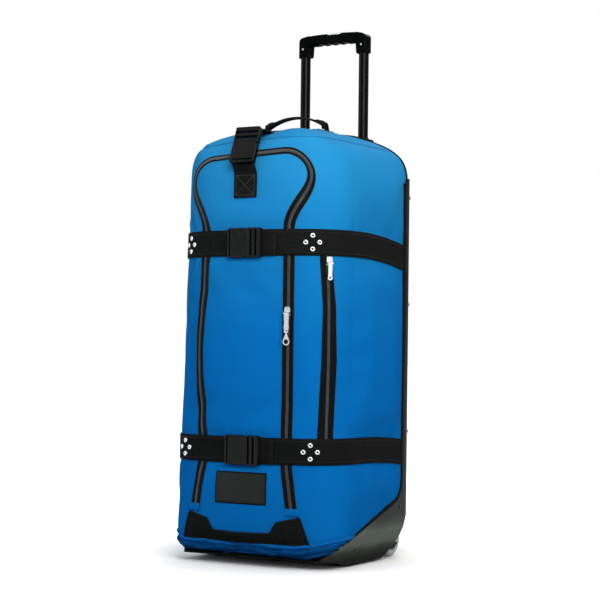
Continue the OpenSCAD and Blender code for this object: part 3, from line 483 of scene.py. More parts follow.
def arc_planes(axes, centre, radius, first, last, count=24):
    """Planes touching an arc drawn on two of the axes, and their mirror images in X."""
    rows = []
    for angle in np.radians(np.linspace(first, last, count)):
        normal = np.zeros(3)
        normal[axes[0]] = math.cos(angle)
        normal[axes[1]] = math.sin(angle)
        place = np.zeros(3)
        place[axes[0]], place[axes[1]] = centre
        rows += mirrored([*normal, normal @ place + radius])
    return rows


def line_plane(axes, start, end):
    """The plane through a line drawn on two axes, facing right of the way it runs, and its mirror image."""
    along = np.subtract(end, start)
    angle = math.degrees(math.atan2(-along[0], along[1]))
    return arc_planes(axes, start, 0.0, angle, angle, 1)


def heel_corner_planes():
    """Planes touching the arc that rolls the rear bottom corners under, and their mirror images."""
    flat = np.array([math.cos(HEEL_CORNER_A), math.sin(HEEL_CORNER_A)])
    reach = flat @ [REAR_X, REAR_Y] + REAR_R
    rows = []
    for angle in np.radians(np.linspace(HEEL_CORNER_START_A, 0, 24)):
        away = math.cos(angle) * (reach - HEEL_CORNER_R) + math.sin(angle) * HEEL_CORNER_Z + HEEL_CORNER_R
        rows += mirrored([*(flat * math.cos(angle)), math.sin(angle), away])
    return rows


def body_planes():
    plan, arch, side = (0, 1), (0, 2), (1, 2)
    toe_y = TOE_R - FRONT_D
    rows = arc_planes(plan, (0, BOW_Y), BOW_R, -90, -90 + BOW_A)
    rows += arc_planes(plan, (CORNER_X, CORNER_Y), CORNER_R, -90 + BOW_A, 0, 40)
    rows += arc_planes(plan, (REAR_X, REAR_Y), REAR_R, 0, 90)
    rows += arc_planes(arch, (SHOULDER_X, SHOULDER_Z), SHOULDER_R, 0, SHOULDER_A)
    rows += arc_planes(arch, (0, ARCH_Z), ARCH_R, SHOULDER_A, 90)
    rows += line_plane(arch, (FOOT_HALF, SOLE_Z), (HALF_W, FLARE_Z))
    rows += arc_planes(side, (toe_y, BASE_SEAM_Z), TOE_R, 180, 270)
    rows += arc_planes(side, (-SKID_FRONT, SOLE_Z), 0, 260, 270, 2)
    rows += arc_planes(side, (BACK_D - HEEL_R, SOLE_Z + HEEL_R - HEEL_DROP), HEEL_R, HEEL_START_A, 0)
    rows += arc_planes(side, (BACK_D - NAPE_R, CREST_Z - NAPE_R), NAPE_R, 0, 90)
    rows += arc_planes(side, (BROW_Y, BROW_Z), BROW_R, 90, 180)
    return np.array(rows + heel_corner_planes())


PLANES = body_planes()


def meet(starts, ways):
    """Where rays from inside come out through the planes."""
    toward = ways @ PLANES[:, :3].T
    room = PLANES[:, 3] - starts @ PLANES[:, :3].T
    steps = np.where(toward > 1e-9, room / np.maximum(toward, 1e-9), np.inf)
    return starts + ways * steps.min(axis=1)[:, None]


def plan_outline(count):
    """Even points round the body from the middle of the front to the right, their normals and distances."""
    def arc(x, y, radius, first, last):
        angles = np.radians(np.linspace(first, last, 80))
        ways = np.stack([np.cos(angles), np.sin(angles)], 1)
        return np.hstack([np.array([x, y]) + radius * ways, ways])

    right = np.vstack([arc(0, BOW_Y, BOW_R, -90, -90 + BOW_A),
                       arc(CORNER_X, CORNER_Y, CORNER_R, -90 + BOW_A, 0),
                       arc(REAR_X, REAR_Y, REAR_R, 0, 90),
                       [[0, BACK_D, 0, 1]]])
    left = right[::-1] * [-1, 1, -1, 1]
    rows = np.vstack([right, left[1:]])
    gone = lengths(rows[:, :2])
    at = np.arange(count) * gone[-1] / count
    even = np.stack([np.interp(at, gone, rows[:, k]) for k in range(4)], 1)
    return even[:, :2], unit(even[:, 2:]), np.where(at > gone[-1] / 2, at - gone[-1], at)


OUTLINE, OUTWARD, ROUND = plan_outline(COLUMNS)


def outline_at(distance):
    """Place and outward direction in plan at a distance round from the middle of the front."""
    order = np.argsort(ROUND)
    row = [np.interp(distance, ROUND[order], data[order, k]) for data in (OUTLINE, OUTWARD) for k in (0, 1)]
    return row[:2], row[2:]


def body_rings():
    """Rings of points from the sole up to the crest."""
    level = np.hstack([unit(OUTLINE), np.zeros((COLUMNS, 1))])
    up = np.array([0, 0, 1.0])
    rings = []
    for z in np.arange(WALL_LOW, WALL_HIGH, RING_STEP):
        rings.append(meet(np.zeros((COLUMNS, 3)) + up * z, level))
    for rise in np.radians(np.linspace(0, 88, TOP_RINGS)):
        ways = level * math.cos(rise) + up * math.sin(rise)
        rings.append(meet(np.zeros((COLUMNS, 3)) + up * WALL_HIGH, ways))
    sole = []
    for share in SOLE_SHARES:
        start = rings[0] * [share, share, 0] + up * 0.1
        sole.append(meet(start, np.tile(-up, (COLUMNS, 1))))
    return np.array(sole + rings)


def soften(rings, mask, passes):
    """Rounds the edges where two outlines cross, as much as the mask says."""
    for _ in range(passes):
        mean = (np.roll(rings, 1, 1) + np.roll(rings, -1, 1)) / 4
        mean[1:-1] += (rings[2:] + rings[:-2]) / 4
        mean[0] += rings[0] / 2
        mean[-1] += rings[-1] / 2
        rings = rings + (mean - rings) * mask[:, :, None]
    return rings


# How far the loaded cloth stands out at its front corners, by height, and how far its top has sunk
CORNER_ROUND = 178 * MM
CORNER_SPREAD = 58 * MM
BULGE_HEIGHTS = np.array([20, 75, 155, 205, 255, 416, 537, 594, 638, 690]) * MM
BULGE_LEFT = np.array([18, 17, 14, 12, 11.7, 9, 5.6, 2.4, 1, 0]) * MM
BULGE_RIGHT = np.array([15, 13, 9, 3, 1, 0, 0, 0, 0, 0]) * MM
SAG = 12 * MM
# Pairs say where a change starts and the span that it takes
SAG_ACROSS = (20 * MM, 90 * MM)
SAG_UP = (690 * MM, 110 * MM)
SAG_BACK = 90 * MM
FALL_PLACES = np.array([-120, -47, 0, 32, 80, 110]) * MM
FALL = np.array([18, 13, 9, 5, 1, 0]) * MM
FALL_W = 70 * MM
FALL_UP = (800 * MM, 60 * MM)
ANCHOR_X = 69 * MM
ANCHOR_PAD_X = 12 * MM
ANCHOR_PAD_Y = 14 * MM
ANCHOR_FADE = 18 * MM
ANCHOR_LIFT = 1 * MM
# How far outside its edge the tray still keeps bulges down, holds the cloth, keeps folds out and presses in
BULGE_MARGIN = 4 * MM
HOLD_MARGIN = 10 * MM
FOLD_MARGIN = 8 * MM
INSET_MARGIN = 6 * MM


def sag(x, y, z):
    """How far the left and the front of the top have sunk, where nothing fills or holds them."""
    left = SAG * ease(-x, *SAG_ACROSS) * ease(z, *SAG_UP) * ease(SAG_BACK - y, 0, SAG_BACK)
    front = np.interp(y, FALL_PLACES, FALL) * bell(x, FALL_W) * ease(z, *FALL_UP)
    across = np.maximum(np.abs(np.abs(x) - ANCHOR_X) - ANCHOR_PAD_X, 0)
    along = np.maximum(np.abs(y) - ANCHOR_PAD_Y, 0)
    held = bell(np.hypot(across, along), ANCHOR_FADE)
    return (left + front) * (1 - held) - ANCHOR_LIFT * held


def bulged(rings):
    heights = rings[:, :, 2]
    near = bell(np.abs(ROUND) - CORNER_ROUND, CORNER_SPREAD)
    left = np.interp(heights, BULGE_HEIGHTS, BULGE_LEFT) * (ROUND < 0)
    right = np.interp(heights, BULGE_HEIGHTS, BULGE_RIGHT) * (ROUND >= 0)
    out = (left + right) * near
    out = out * (1 - under_tray(rings, BULGE_MARGIN))
    moved = rings.copy()
    moved[:, :, :2] += OUTWARD[None] * out[:, :, None]
    moved[:, :, 2] -= sag(rings[:, :, 0], rings[:, :, 1], heights)
    return moved


# Edge of the kick tray's flange in the side view, from its lip up a slope and round to its upright part
LIP = np.array([-148, 21]) * MM
RISE = np.array([-118, 41]) * MM
FLANGE_Y = 130 * MM
SWEEP_R = 48 * MM
SWEEP_A = math.radians(18.5)
SWEEP_Y = FLANGE_Y - SWEEP_R
SWEEP_START_Y = SWEEP_Y + SWEEP_R * math.sin(SWEEP_A)
SWEEP_Z = RISE[1] + math.tan(SWEEP_A) * (SWEEP_START_Y - RISE[0]) + SWEEP_R * math.cos(SWEEP_A)
TRAY_EDGE = np.array([LIP, RISE] + [[SWEEP_Y + SWEEP_R * math.cos(a), SWEEP_Z + SWEEP_R * math.sin(a)]
                                    for a in np.linspace(SWEEP_A - math.pi / 2, 0, 16)])


def under_tray(rings, margin):
    """1 where the tray covers the cloth, falling to 0 a little way outside its edge."""
    y, z = rings[..., 1], rings[..., 2]
    edge_y = np.interp(z, TRAY_EDGE[:, 1], TRAY_EDGE[:, 0], left=-1.0)
    behind = np.clip((y - edge_y) / margin + 1, 0, 1)
    return behind * (z < TRAY_TOP_Z)


def strap_fall(y, droop):
    """How far a strap has come down at a place along the side."""
    return droop * np.clip((y - DROOP_Y) / (STRAP_END_Y - DROOP_Y), 0, 1) ** 2


# How strongly seams hold the cloth, how far to each side the zips do, in metres and in degrees round the
# corner, and where the top is held by the strap, the handle's anchors and the bezel
SEAM_HOLD = 0.25
ZIP_HOLD = 9 * MM
ZIP_HOLD_Z = 300 * MM
SIDE_ZIP_HOLD = 8
CROWN_DROP = 70 * MM
ANCHOR_HOLD_X = 70 * MM
ANCHOR_HALF_X = 16 * MM
ANCHOR_HALF_Y = 18 * MM
BEZEL_Y = 118 * MM


def pin_weights(rest):
    """1 where webbing, zips, the tray or fittings hold the cloth, 0 where it is free."""
    x, y, z = rest[..., 0], rest[..., 1], rest[..., 2]
    front = y < CORNER_Y
    corner = np.degrees(np.arctan2(x - CORNER_X, CORNER_Y - y))
    crown = z > BROW_Z - CROWN_DROP
    base_seam = np.abs(z - BASE_SEAM_Z) < RING_STEP
    top_seam = (z > SHOULDER_SEAM_Z) * (np.abs(y - TOP_SEAM_Y) < RING_STEP)
    holds = [under_tray(rest, HOLD_MARGIN), SEAM_HOLD * np.maximum(base_seam, top_seam),
             front * (np.abs(x - ZIP_LEG_X) < ZIP_HOLD) * (z > ZIP_HOLD_Z) * (z < UPPER_Z),
             front * (np.abs(corner - SIDE_ZIP_A) < SIDE_ZIP_HOLD) * (z > LOWER_Z) * (z < UPPER_Z),
             crown * (np.abs(x) < WEB_W / 2) * (y < TOP_SEAM_Y),
             crown * (np.abs(np.abs(x) - ANCHOR_HOLD_X) < ANCHOR_HALF_X) * (np.abs(y) < ANCHOR_HALF_Y),
             crown * (y > BEZEL_Y)]
    for strap_z, droop in ((UPPER_Z, UPPER_DROOP), (LOWER_Z, LOWER_DROOP)):
        on_strap = np.abs(z - strap_z + strap_fall(y, droop)) < WEB_W / 2
        holds.append(on_strap * (y < STRAP_END_Y))
    return np.max(holds, axis=0)


STIFFENED = 0.8
STIFF_CORNER_W = 45 * MM
STIFF_TOP = (740 * MM, 80 * MM)


def give(rest):
    """How freely the cloth is blown out: less over the stiffened top and at the filled front corners."""
    corner = bell(np.abs(AROUND) - CORNER_ROUND, STIFF_CORNER_W)
    return (1 - STIFFENED * corner) * (1 - STIFFENED * ease(rest[:, 2], *STIFF_TOP))


PRESSURE = 4.0
SLACK = 0.010
SIM_FRAMES = 20
MOVE_CAP = 12 * MM
MOVE_SMOOTH = 0.8
MOVE_PASSES = 5
CLOTH_RULES = {"quality": 6, "mass": 0.4, "tension_stiffness": 25, "compression_stiffness": 25,
               "shear_stiffness": 15, "bending_stiffness": 4, "air_damping": 3, "shrink_min": -SLACK,
               "use_pressure": True, "uniform_pressure_force": PRESSURE, "vertex_group_mass": "held"}


def inflate(points, faces, pins):
    """Blows the cloth up from inside between what holds it, and returns its points."""
    mesh = bpy.data.meshes.new("blown")
    mesh.from_pydata(points.tolist(), [], faces)
    blown = add("blown", mesh)
    group = blown.vertex_groups.new(name="held")
    steps = np.round(pins, 2)
    for weight in np.unique(steps):
        group.add(np.flatnonzero(steps == weight).tolist(), float(weight), "REPLACE")
    cloth = blown.modifiers.new("Cloth", "CLOTH")
    for key, value in CLOTH_RULES.items():
        setattr(cloth.settings, key, value)
    cloth.settings.effector_weights.gravity = 0
    cloth.collision_settings.use_collision = False
    cloth.point_cache.frame_start = 1
    cloth.point_cache.frame_end = SIM_FRAMES
    scene = bpy.context.scene
    for step in range(1, SIM_FRAMES + 1):
        scene.frame_set(step)
    result = blown.evaluated_get(bpy.context.evaluated_depsgraph_get()).to_mesh()
    found = np.zeros(len(points) * 3)
    result.vertices.foreach_get("co", found)
    bpy.data.objects.remove(blown)
    scene.frame_set(1)
    moved = (found.reshape(-1, 3) - points) * give(RESTED)[:, None]
    rings = moved[:-2].reshape(REST.shape)
    moved[:-2] = soften(rings, np.full(rings.shape[:2], MOVE_SMOOTH), MOVE_PASSES).reshape(-1, 3)
    far = np.linalg.norm(moved, axis=1)[:, None]
    return points + moved * np.minimum(1, MOVE_CAP / np.maximum(far, 1e-9))


def ring_quads(rings, columns):
    """Faces between rings of points, each ring closed on itself."""
    faces = []
    for r in range(rings - 1):
        for c in range(columns):
            n = (c + 1) % columns
            faces.append((r * columns + c, r * columns + n, (r + 1) * columns + n, (r + 1) * columns + c))
    return faces


def ring_faces(count):
    """Quads between the rings, and fans that close the two ends on one point each."""
    faces = ring_quads(count, COLUMNS)
    low, high, last = count * COLUMNS, count * COLUMNS + 1, (count - 1) * COLUMNS
    for c in range(COLUMNS):
        n = (c + 1) % COLUMNS
        faces.append((low, n, c))
        faces.append((last + c, last + n, high))
    return faces


def closed(rings):
    return np.vstack([rings.reshape(-1, 3), rings[0].mean(0), rings[-1].mean(0)])


def point_normals(points, faces):
    normals = np.zeros_like(points)
    for size in (3, 4):
        group = np.array([f for f in faces if len(f) == size])
        corners = points[group]
        across = np.cross(corners[:, 2] - corners[:, 0], corners[:, -1] - corners[:, 1])
        for k in range(size):
            np.add.at(normals, group[:, k], across)
    return unit(normals)


# Rounding of edges above one height and below another: its start, the span it takes and its strength
SHOULDER_EDGE = (715 * MM, 40 * MM, 0.8)
SOLE_EDGE = (80 * MM, 30 * MM, 0.5)
EDGE_PASSES = 12


def edge_mask(z):
    """How strongly edges are rounded, by height."""
    start, span, most = SHOULDER_EDGE
    shoulders = most * np.clip((z - start) / span, 0, 1)
    start, span, most = SOLE_EDGE
    return np.maximum(shoulders, most * np.clip((start - z) / span, 0, 1))


# The body's rings, every skin point's distance round it, and the skin blown up from them
REST = body_rings()
AROUND = np.concatenate([np.tile(ROUND, len(REST)), [0, 0]])
REST = soften(REST, edge_mask(REST[:, :, 2]), EDGE_PASSES)
BODY_FACES = ring_faces(len(REST))
STARTS = closed(bulged(REST))
RESTED = closed(REST)
PINS = pin_weights(RESTED)
SKIN = inflate(STARTS, BODY_FACES, PINS)
FACING = point_normals(SKIN, BODY_FACES)


# Folds pressed into the cloth, in millimetres: start and end by distance round the front and by height,
# then width and depth
FOLDS = [(-119, 655, -168, 724, 5, 3.2), (-134, 654, -174, 702, 5, -2.8), (-150, 652, -178, 680, 5, 2.6),
         (-116, 601, -146, 546, 5, 3.2), (-131, 600, -158, 552, 5, -2.8), (-146, 600, -166, 540, 6, 2.6),
         (-34, 252, -42, 284, 5, 1.8), (-12, 252, -9, 276, 5, -1.6), (22, 252, 26, 282, 5, 1.6),
         (48, 252, 60, 292, 6, 1.8), (-30, 198, -36, 176, 5, 1.6), (8, 198, 6, 182, 5, -1.5),
         (45, 198, 54, 170, 6, 1.7), (-150, 252, -164, 330, 8, 2.0), (-176, 198, -186, 120, 9, 2.2),
         (118, 196, 124, 132, 8, 1.6), (150, 252, 158, 300, 7, 1.4), (215, 610, 232, 690, 10, 1.5)]


SEAM_W = 5 * MM
SIDE_SEAM_DEPTH = 1 * MM
BASE_SEAM_DEPTH = 3.5 * MM
BASE_SEAM_RISE = 3 * MM
# A fold comes in over a sixth of its length and fades over half of it
FOLD_IN = 6
FOLD_OUT = 2
# Wrinkles of the gusset: each one's share of their height, length and start
GUSSET_REACH = 300 * MM
RIPPLE_Z = 35 * MM
RIPPLE_H = 1.6 * MM
RIPPLE_SPREAD = 8 * MM
RIPPLES = [(1, 7.9 * MM, 1.3), (0.8, 4.7 * MM, 0.4), (0.6, 13 * MM, 0)]


def crumpled(rest):
    """How far each point stands out of the smooth cloth: folds, sunk seams and the wrinkled gusset."""
    across, up = AROUND, rest[:, 2]
    out = np.zeros(len(rest))
    for row in FOLDS:
        x0, z0, x1, z1, width, depth = np.array(row) * MM
        share = ((across - x0) * (x1 - x0) + (up - z0) * (z1 - z0)) / ((x1 - x0) ** 2 + (z1 - z0) ** 2)
        apart = np.hypot(across - x0 - share * (x1 - x0), up - z0 - share * (z1 - z0))
        out += depth * bell(apart, width) * ease(share * FOLD_IN) * ease((1 - share) * FOLD_OUT)
    wall = (up > BASE_SEAM_Z) * (up < SHOULDER_SEAM_Z)
    front = np.abs(across) < GUSSET_REACH
    out -= SIDE_SEAM_DEPTH * wall * bell(np.abs(across) - SIDE_SEAM, SEAM_W)
    out -= BASE_SEAM_DEPTH * bell(up - BASE_SEAM_Z - BASE_SEAM_RISE, SEAM_W) * front
    out += RIPPLE_H * waves(across, RIPPLES) * bell(up - RIPPLE_Z, RIPPLE_SPREAD) * front
    return out * (1 - under_tray(rest, FOLD_MARGIN)) * (1 - PINS)


def side_distance(y):
    """Distance round from the middle of the front to a place on the side."""
    order = np.argsort(ROUND)
    right = order[(ROUND[order] > 0) & (OUTLINE[order, 0] > 0.4 * HALF_W)]
    return float(np.interp(y, OUTLINE[right, 1], ROUND[right]))


SIDE_SEAM = side_distance(CORNER_SEAM_Y)
SKIN = SKIN + FACING * crumpled(RESTED)[:, None]
FACING = point_normals(SKIN, BODY_FACES)
TRAY_INSET = 1.5 * MM
SKIN = SKIN - FACING * (under_tray(RESTED, INSET_MARGIN)[:, None] * TRAY_INSET)
TREE = BVHTree.FromPolygons(SKIN.tolist(), BODY_FACES)


REACH = 0.06
STRIP_REACH = 0.025
ACROSS_BAG = 0.4


def touch(point, outward, reach=REACH):
    """Where the cloth lies under a point, and the way it faces there."""
    start = Vector(point) + Vector(outward) * reach
    hit, normal, _, _ = TREE.ray_cast(start, -Vector(outward), 2 * reach)
    if hit is None:
        hit, normal, _, _ = TREE.find_nearest(Vector(point))
    return np.array(hit), np.array(normal)


# Seam of the top: where it turns and ends, its height, how far it drops on the left, and its groove
BROW_TURN_Y = -50 * MM
BROW_END_Y = 138 * MM
BROW_Z_SEAM = 829 * MM
BROW_LEFT_DROP = 12 * MM
BROW_SEAM_DEPTH = 2.2 * MM
BROW_SEAM_W = 4.5 * MM


def brow_seam():
    """Places on the seam of the top, from the left round the front to the right, and the ways out there."""
    rows = [(y, -90) for y in np.linspace(BROW_END_Y, BROW_TURN_Y, 30, endpoint=False)]
    rows += [(BROW_TURN_Y, a) for a in np.linspace(-90, 90, 61)]
    rows += [(y, 90) for y in np.linspace(BROW_TURN_Y, BROW_END_Y, 31)[1:]]
    ways = [(math.sin(math.radians(a)), -math.cos(math.radians(a)), 0) for _, a in rows]
    heights = [BROW_Z_SEAM - BROW_LEFT_DROP * float(ease(-way[0])) for way in ways]
    return [touch((0, y, z), way, ACROSS_BAG)[0] for (y, _), z, way in zip(rows, heights, ways)], ways


def evenly(points, step):
    """The same line with a point about every step metres. Numbers past the first three are carried along."""
    points = np.asarray(points, float)
    gone = lengths(points[:, :3])
    at = np.linspace(0, gone[-1], max(2, round(gone[-1] / step) + 1))
    return np.stack([np.interp(at, gone, points[:, k]) for k in range(points.shape[1])], 1)


def sink_seam(places, depth, width):
    """Presses a groove along a line into the skin."""
    line = evenly(places, MM)
    near = KDTree(len(line))
    for k, place in enumerate(line):
        near.insert(place, k)
    near.balance()
    apart = np.array([near.find(p)[2] for p in SKIN])
    return SKIN - FACING * (depth * bell(apart, width))[:, None]


BROW_SEAM, BROW_WAYS = brow_seam()
SKIN = sink_seam(BROW_SEAM, BROW_SEAM_DEPTH, BROW_SEAM_W)
FACING = point_normals(SKIN, BODY_FACES)
TREE = BVHTree.FromPolygons(SKIN.tolist(), BODY_FACES)


# Panels cut from the skin, each a closed shell
LEG_POINTS = 60
TURN_POINTS = 20


def zip_half():
    """Middle of the main zip's right half in the front view, from its lower end round to its top."""
    neck, bulb = UPPER_Z + WEB_W / 2, ZIP_TOP_Z - ZIP_BULB_R
    foot = LOWER_Z - WEB_W / 2
    leg = [(ZIP_LEG_X + ZIP_SPLAY * max(0, (foot - z) / (foot - ZIP_END_Z)), z)
           for z in np.linspace(ZIP_END_Z, neck, LEG_POINTS, endpoint=False)]
    wider = ZIP_BULB_X - ZIP_LEG_X
    swell = [(ZIP_LEG_X + wider * (1 - math.cos(math.pi * t)) / 2, neck + (bulb - neck) * t)
             for t in np.linspace(0, 1, TURN_POINTS, endpoint=False)]
    turn = [(ZIP_BULB_X - ZIP_BULB_R + ZIP_BULB_R * math.cos(a), bulb + ZIP_BULB_R * math.sin(a))
            for a in np.linspace(0, math.pi / 2, TURN_POINTS)]
    return leg + swell + turn


ZIP_BOW = 9 * MM
ZIP_BOW_Z = 416 * MM
ZIP_BOW_H = 95 * MM


def zip_left(x, z):
    """The zip's left half, whose leg the load has pushed out a little."""
    return -x - ZIP_BOW * bell(z - ZIP_BOW_Z, ZIP_BOW_H), z


ZIP_LINE = zip_half()
ZIP_LINE = ZIP_LINE + [zip_left(x, z) for x, z in reversed(ZIP_LINE)]


def inside(x, z, outline):
    """Which points of the front view lie inside an outline."""
    found = np.zeros(len(x), bool)
    for (x0, z0), (x1, z1) in zip(outline, outline[1:] + outline[:1]):
        crosses = (z0 > z) != (z1 > z)
        at = x0 + (z - z0) * (x1 - x0) / (z1 - z0 if z1 != z0 else 1)
        found ^= crosses & (x < at)
    return found


def panel_of_faces():
    """The name of the panel that each face of the skin belongs to."""
    middle = np.array([RESTED[list(f)].mean(0) for f in BODY_FACES])
    x, y, z = middle.T
    names = np.where(x < 0, "left_side", "right_side").astype(object)
    names[y > REAR_SEAM_Y] = "back"
    names[(y < CORNER_SEAM_Y) | (z > SHOULDER_SEAM_Z)] = "front"
    names[(z > SHOULDER_SEAM_Z) & (y > TOP_SEAM_Y)] = "top"
    names[z < np.where(y < CORNER_SEAM_Y, BASE_SEAM_Z, SIDE_SEAM_Z)] = "base"
    names[(names == "front") & (y < 0) & inside(x, z, ZIP_LINE)] = "flap"
    return names


def flat_measure():
    """Each skin point's place on uncut cloth: distance round the body and up it, or in plan on the top."""
    flat = np.zeros((len(SKIN), 2))
    flat[:, 0] = AROUND
    flat[:-2, 1] = np.repeat(lengths(REST[:, 0]), COLUMNS)
    above = RESTED[:, 2] > SHOULDER_SEAM_Z
    flat[above] = RESTED[above][:, :2]
    return flat


def shell(name, faces, flat):
    """A closed cloth wall with the outer side given by some faces of the skin."""
    used, local = np.unique(np.concatenate([np.array(f) for f in faces]), return_inverse=True)
    cut, at = [], 0
    for f in faces:
        cut.append(tuple(local[at:at + len(f)]))
        at += len(f)
    n = len(used)
    sides = {}
    for f in cut:
        for a, b in zip(f, f[1:] + f[:1]):
            sides[a, b] = True
    rim = [(a, a + n, b + n, b) for a, b in sides if (b, a) not in sides]
    points = np.vstack([SKIN[used], SKIN[used] - FACING[used] * CLOTH_T])
    normals = np.vstack([FACING[used], -FACING[used]])
    walls = cut + [tuple(i + n for i in reversed(f)) for f in cut] + rim
    # The base panel takes the cloth whose dark navy is painted shade.
    cloth = SHADED_BASE_CLOTH if name == "base" else CLOTH
    flat = np.vstack([flat[used]] * 2)
    return piece(f"{name}_cloth", points, walls, cloth, "blue_cloth", flat=flat, normals=normals)


def make_panels():
    names = panel_of_faces()
    flat = flat_measure()
    for name in ("front", "flap", "left_side", "right_side", "top", "base", "back"):
        made = shell(name, [f for f, n in zip(BODY_FACES, names) if n == name], flat)
        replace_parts(made, "front_flap" if name == "flap" else f"{name}_panel")


# Strips that lie on the cloth
def smooth_rows(rows, passes):
    for _ in range(passes):
        rows = np.vstack([rows[:1], (rows[:-2] + 2 * rows[1:-1] + rows[2:]) / 4, rows[-1:]])
    return rows


def square(rows, along):
    """Directions turned until they stand square to the way a line runs."""
    return unit(rows - along * np.sum(rows * along, 1)[:, None])


LINE_STEP = 4 * MM


class Line:
    """A line on the cloth: its points, the way it runs, the way the cloth faces and the way across."""

    def __init__(self, points, outward):
        rows = evenly(np.hstack([points, outward]), LINE_STEP)
        hits = [touch(r[:3], unit(r[3:])) for r in rows]
        self.points = smooth_rows(np.array([h[0] for h in hits]), 1)
        self.along = unit(np.gradient(self.points, axis=0))
        self.facing = square(unit(smooth_rows(np.array([h[1] for h in hits]), 4)), self.along)
        self.across = np.cross(self.facing, self.along)
        self.gone = lengths(self.points)


def line_front(outline):
    """A line drawn on the front view."""
    outline = np.asarray(outline)
    points = [[x, -FRONT_D, z] for x, z in outline]
    return Line(points, np.tile([0, -1.0, 0], (len(points), 1)))


def strip_faces(rows, columns):
    """Faces of a closed strip whose top grid comes first and its bottom grid second."""
    def at(level, r, c):
        return (level * rows + r) * columns + c

    faces = []
    for r in range(rows - 1):
        for c in range(columns - 1):
            faces.append((at(0, r, c), at(0, r + 1, c), at(0, r + 1, c + 1), at(0, r, c + 1)))
            faces.append((at(1, r, c), at(1, r, c + 1), at(1, r + 1, c + 1), at(1, r + 1, c)))
        for c, flip in ((0, False), (columns - 1, True)):
            wall = (at(0, r, c), at(1, r, c), at(1, r + 1, c), at(0, r + 1, c))
            faces.append(wall[::-1] if flip else wall)
    for c in range(columns - 1):
        faces.append((at(0, 0, c), at(0, 0, c + 1), at(1, 0, c + 1), at(1, 0, c)))
        last = rows - 1
        faces.append((at(0, last, c), at(1, last, c), at(1, last, c + 1), at(0, last, c + 1)))
    return faces


def cross_steps(low, high, edge, columns):
    inner = np.linspace(low + edge, high - edge, columns - 2)
    return np.concatenate([[low], inner, [high]])


EDGE_SHARE = 0.45
CRISP_A = math.radians(50)


def band(name, under, facing, thickness, flat, material, slot, body="bag", profile=None):
    """A closed band whose underside is a grid of points, and the grid of its upper side."""
    rows, columns = under.shape[:2]
    full = np.ones(columns)
    full[[0, -1]] = EDGE_SHARE
    rise = np.broadcast_to(thickness, rows)[:, None] * (full if profile is None else np.asarray(profile))
    top = under + facing[:, None] * rise[:, :, None]
    points = np.vstack([top.reshape(-1, 3), under.reshape(-1, 3)])
    flat = np.vstack([flat.reshape(-1, 2)] * 2)
    made = piece(name, points, strip_faces(rows, columns), material, slot, body, flat=flat)
    made.modifiers.new("crisp", "EDGE_SPLIT").split_angle = CRISP_A
    return made, top


DIP_MOST = 12 * MM
RISE_MOST = 8 * MM


def strip(name, line, low, high, thickness, lift, material, slot, columns=9, stand=None, profile=None):
    """A band along a line on the cloth, between two distances across it, which may vary along it."""
    count = len(line.points)
    low, high = np.broadcast_to(low, count), np.broadcast_to(high, count)
    edge = min(thickness * 0.6, 0.2 * (high - low).min())
    rise = np.zeros((count, columns))
    offsets = np.array([cross_steps(a, b, edge, columns) for a, b in zip(low, high)])
    for k in range(count):
        for j in range(columns):
            guess = line.points[k] + line.across[k] * offsets[k, j]
            hit, _ = touch(guess, line.facing[k], STRIP_REACH)
            rise[k, j] = np.clip((hit - guess) @ line.facing[k], -DIP_MOST, RISE_MOST)
    rise = np.maximum(rise, smooth_rows(rise, 6)) + lift
    if stand is not None:
        rise = rise + stand[:, None]
    base = line.points[:, None] + line.across[:, None] * offsets[:, :, None]
    under = base + line.facing[:, None] * rise[:, :, None]
    flat = np.stack([np.repeat(line.gone[:, None], columns, 1), offsets], -1)
    return band(name, under, line.facing, thickness, flat, material, slot, profile=profile)


def resampled(points, facing, pitch):
    """Places every pitch metres along a line, with the ways along it, across it and outward."""
    rows = evenly(np.hstack([points, facing]), pitch)
    along = unit(np.gradient(rows[:, :3], axis=0))
    up = square(unit(rows[:, 3:]), along)
    return rows[:, :3], along, np.cross(up, along), up


RIBBON_COLUMNS = 7
RIBBON_STEP = 3 * MM


def ribbon(name, points, facing, width, thickness, material, slot, body="bag"):
    """A band whose underside follows a line in space."""
    points, _, across, facing = resampled(points, facing, RIBBON_STEP)
    offsets = cross_steps(-width / 2, width / 2, 1 * MM, RIBBON_COLUMNS)
    under = points[:, None] + across[:, None] * offsets[None, :, None]
    gone = lengths(points)
    if callable(thickness):
        thickness = thickness(gone, gone[-1])
    flat = np.stack(np.broadcast_arrays(gone[:, None], offsets[None]), -1)
    made, top = band(name, under, facing, thickness, flat, material, slot, body)
    return made, top, facing


def bead_mesh(length, width, height):
    """A small rounded bar lying on its flat side, long way first."""
    ring = [(-0.5, 0.0), (-0.38, 0.7), (0.0, 1.0), (0.38, 0.7), (0.5, 0.0)]
    points = [(x * length, y * width * s, z * height * s)
              for x, s in ((-0.5, 0.55), (-0.3, 1), (0.3, 1), (0.5, 0.55)) for y, z in ring]
    faces = [(5 * r + k, 5 * r + 5 + k, 5 * r + 6 + k, 5 * r + 1 + k) for r in range(3) for k in range(4)]
    faces += [(5 * r + 4, 5 * r + 9, 5 * r + 5, 5 * r) for r in range(3)]
    faces += [(0, 1, 2, 3, 4), (19, 18, 17, 16, 15)]
    return np.array(points), faces


def joined(copies, faces):
    """Points and faces of one mesh made of copies of a shape."""
    count = len(copies[0])
    return np.vstack(copies), [tuple(i + k * count for i in f) for k in range(len(copies)) for f in faces]


def beads(name, lines, pitch, length, width, height, material, slot, body="bag", crosswise=False):
    """Stitches or zip teeth: small bars along lines given as points and facings."""
    bar, bar_faces = bead_mesh(length, width, height)
    copies = []
    for line_points, facing in lines:
        for place, along, across, up in zip(*resampled(line_points, facing, pitch)):
            axes = (across, along, up) if crosswise else (along, across, up)
            copies.append(place + bar @ np.array(axes))
    return piece(name, *joined(copies, bar_faces), material, slot, body)


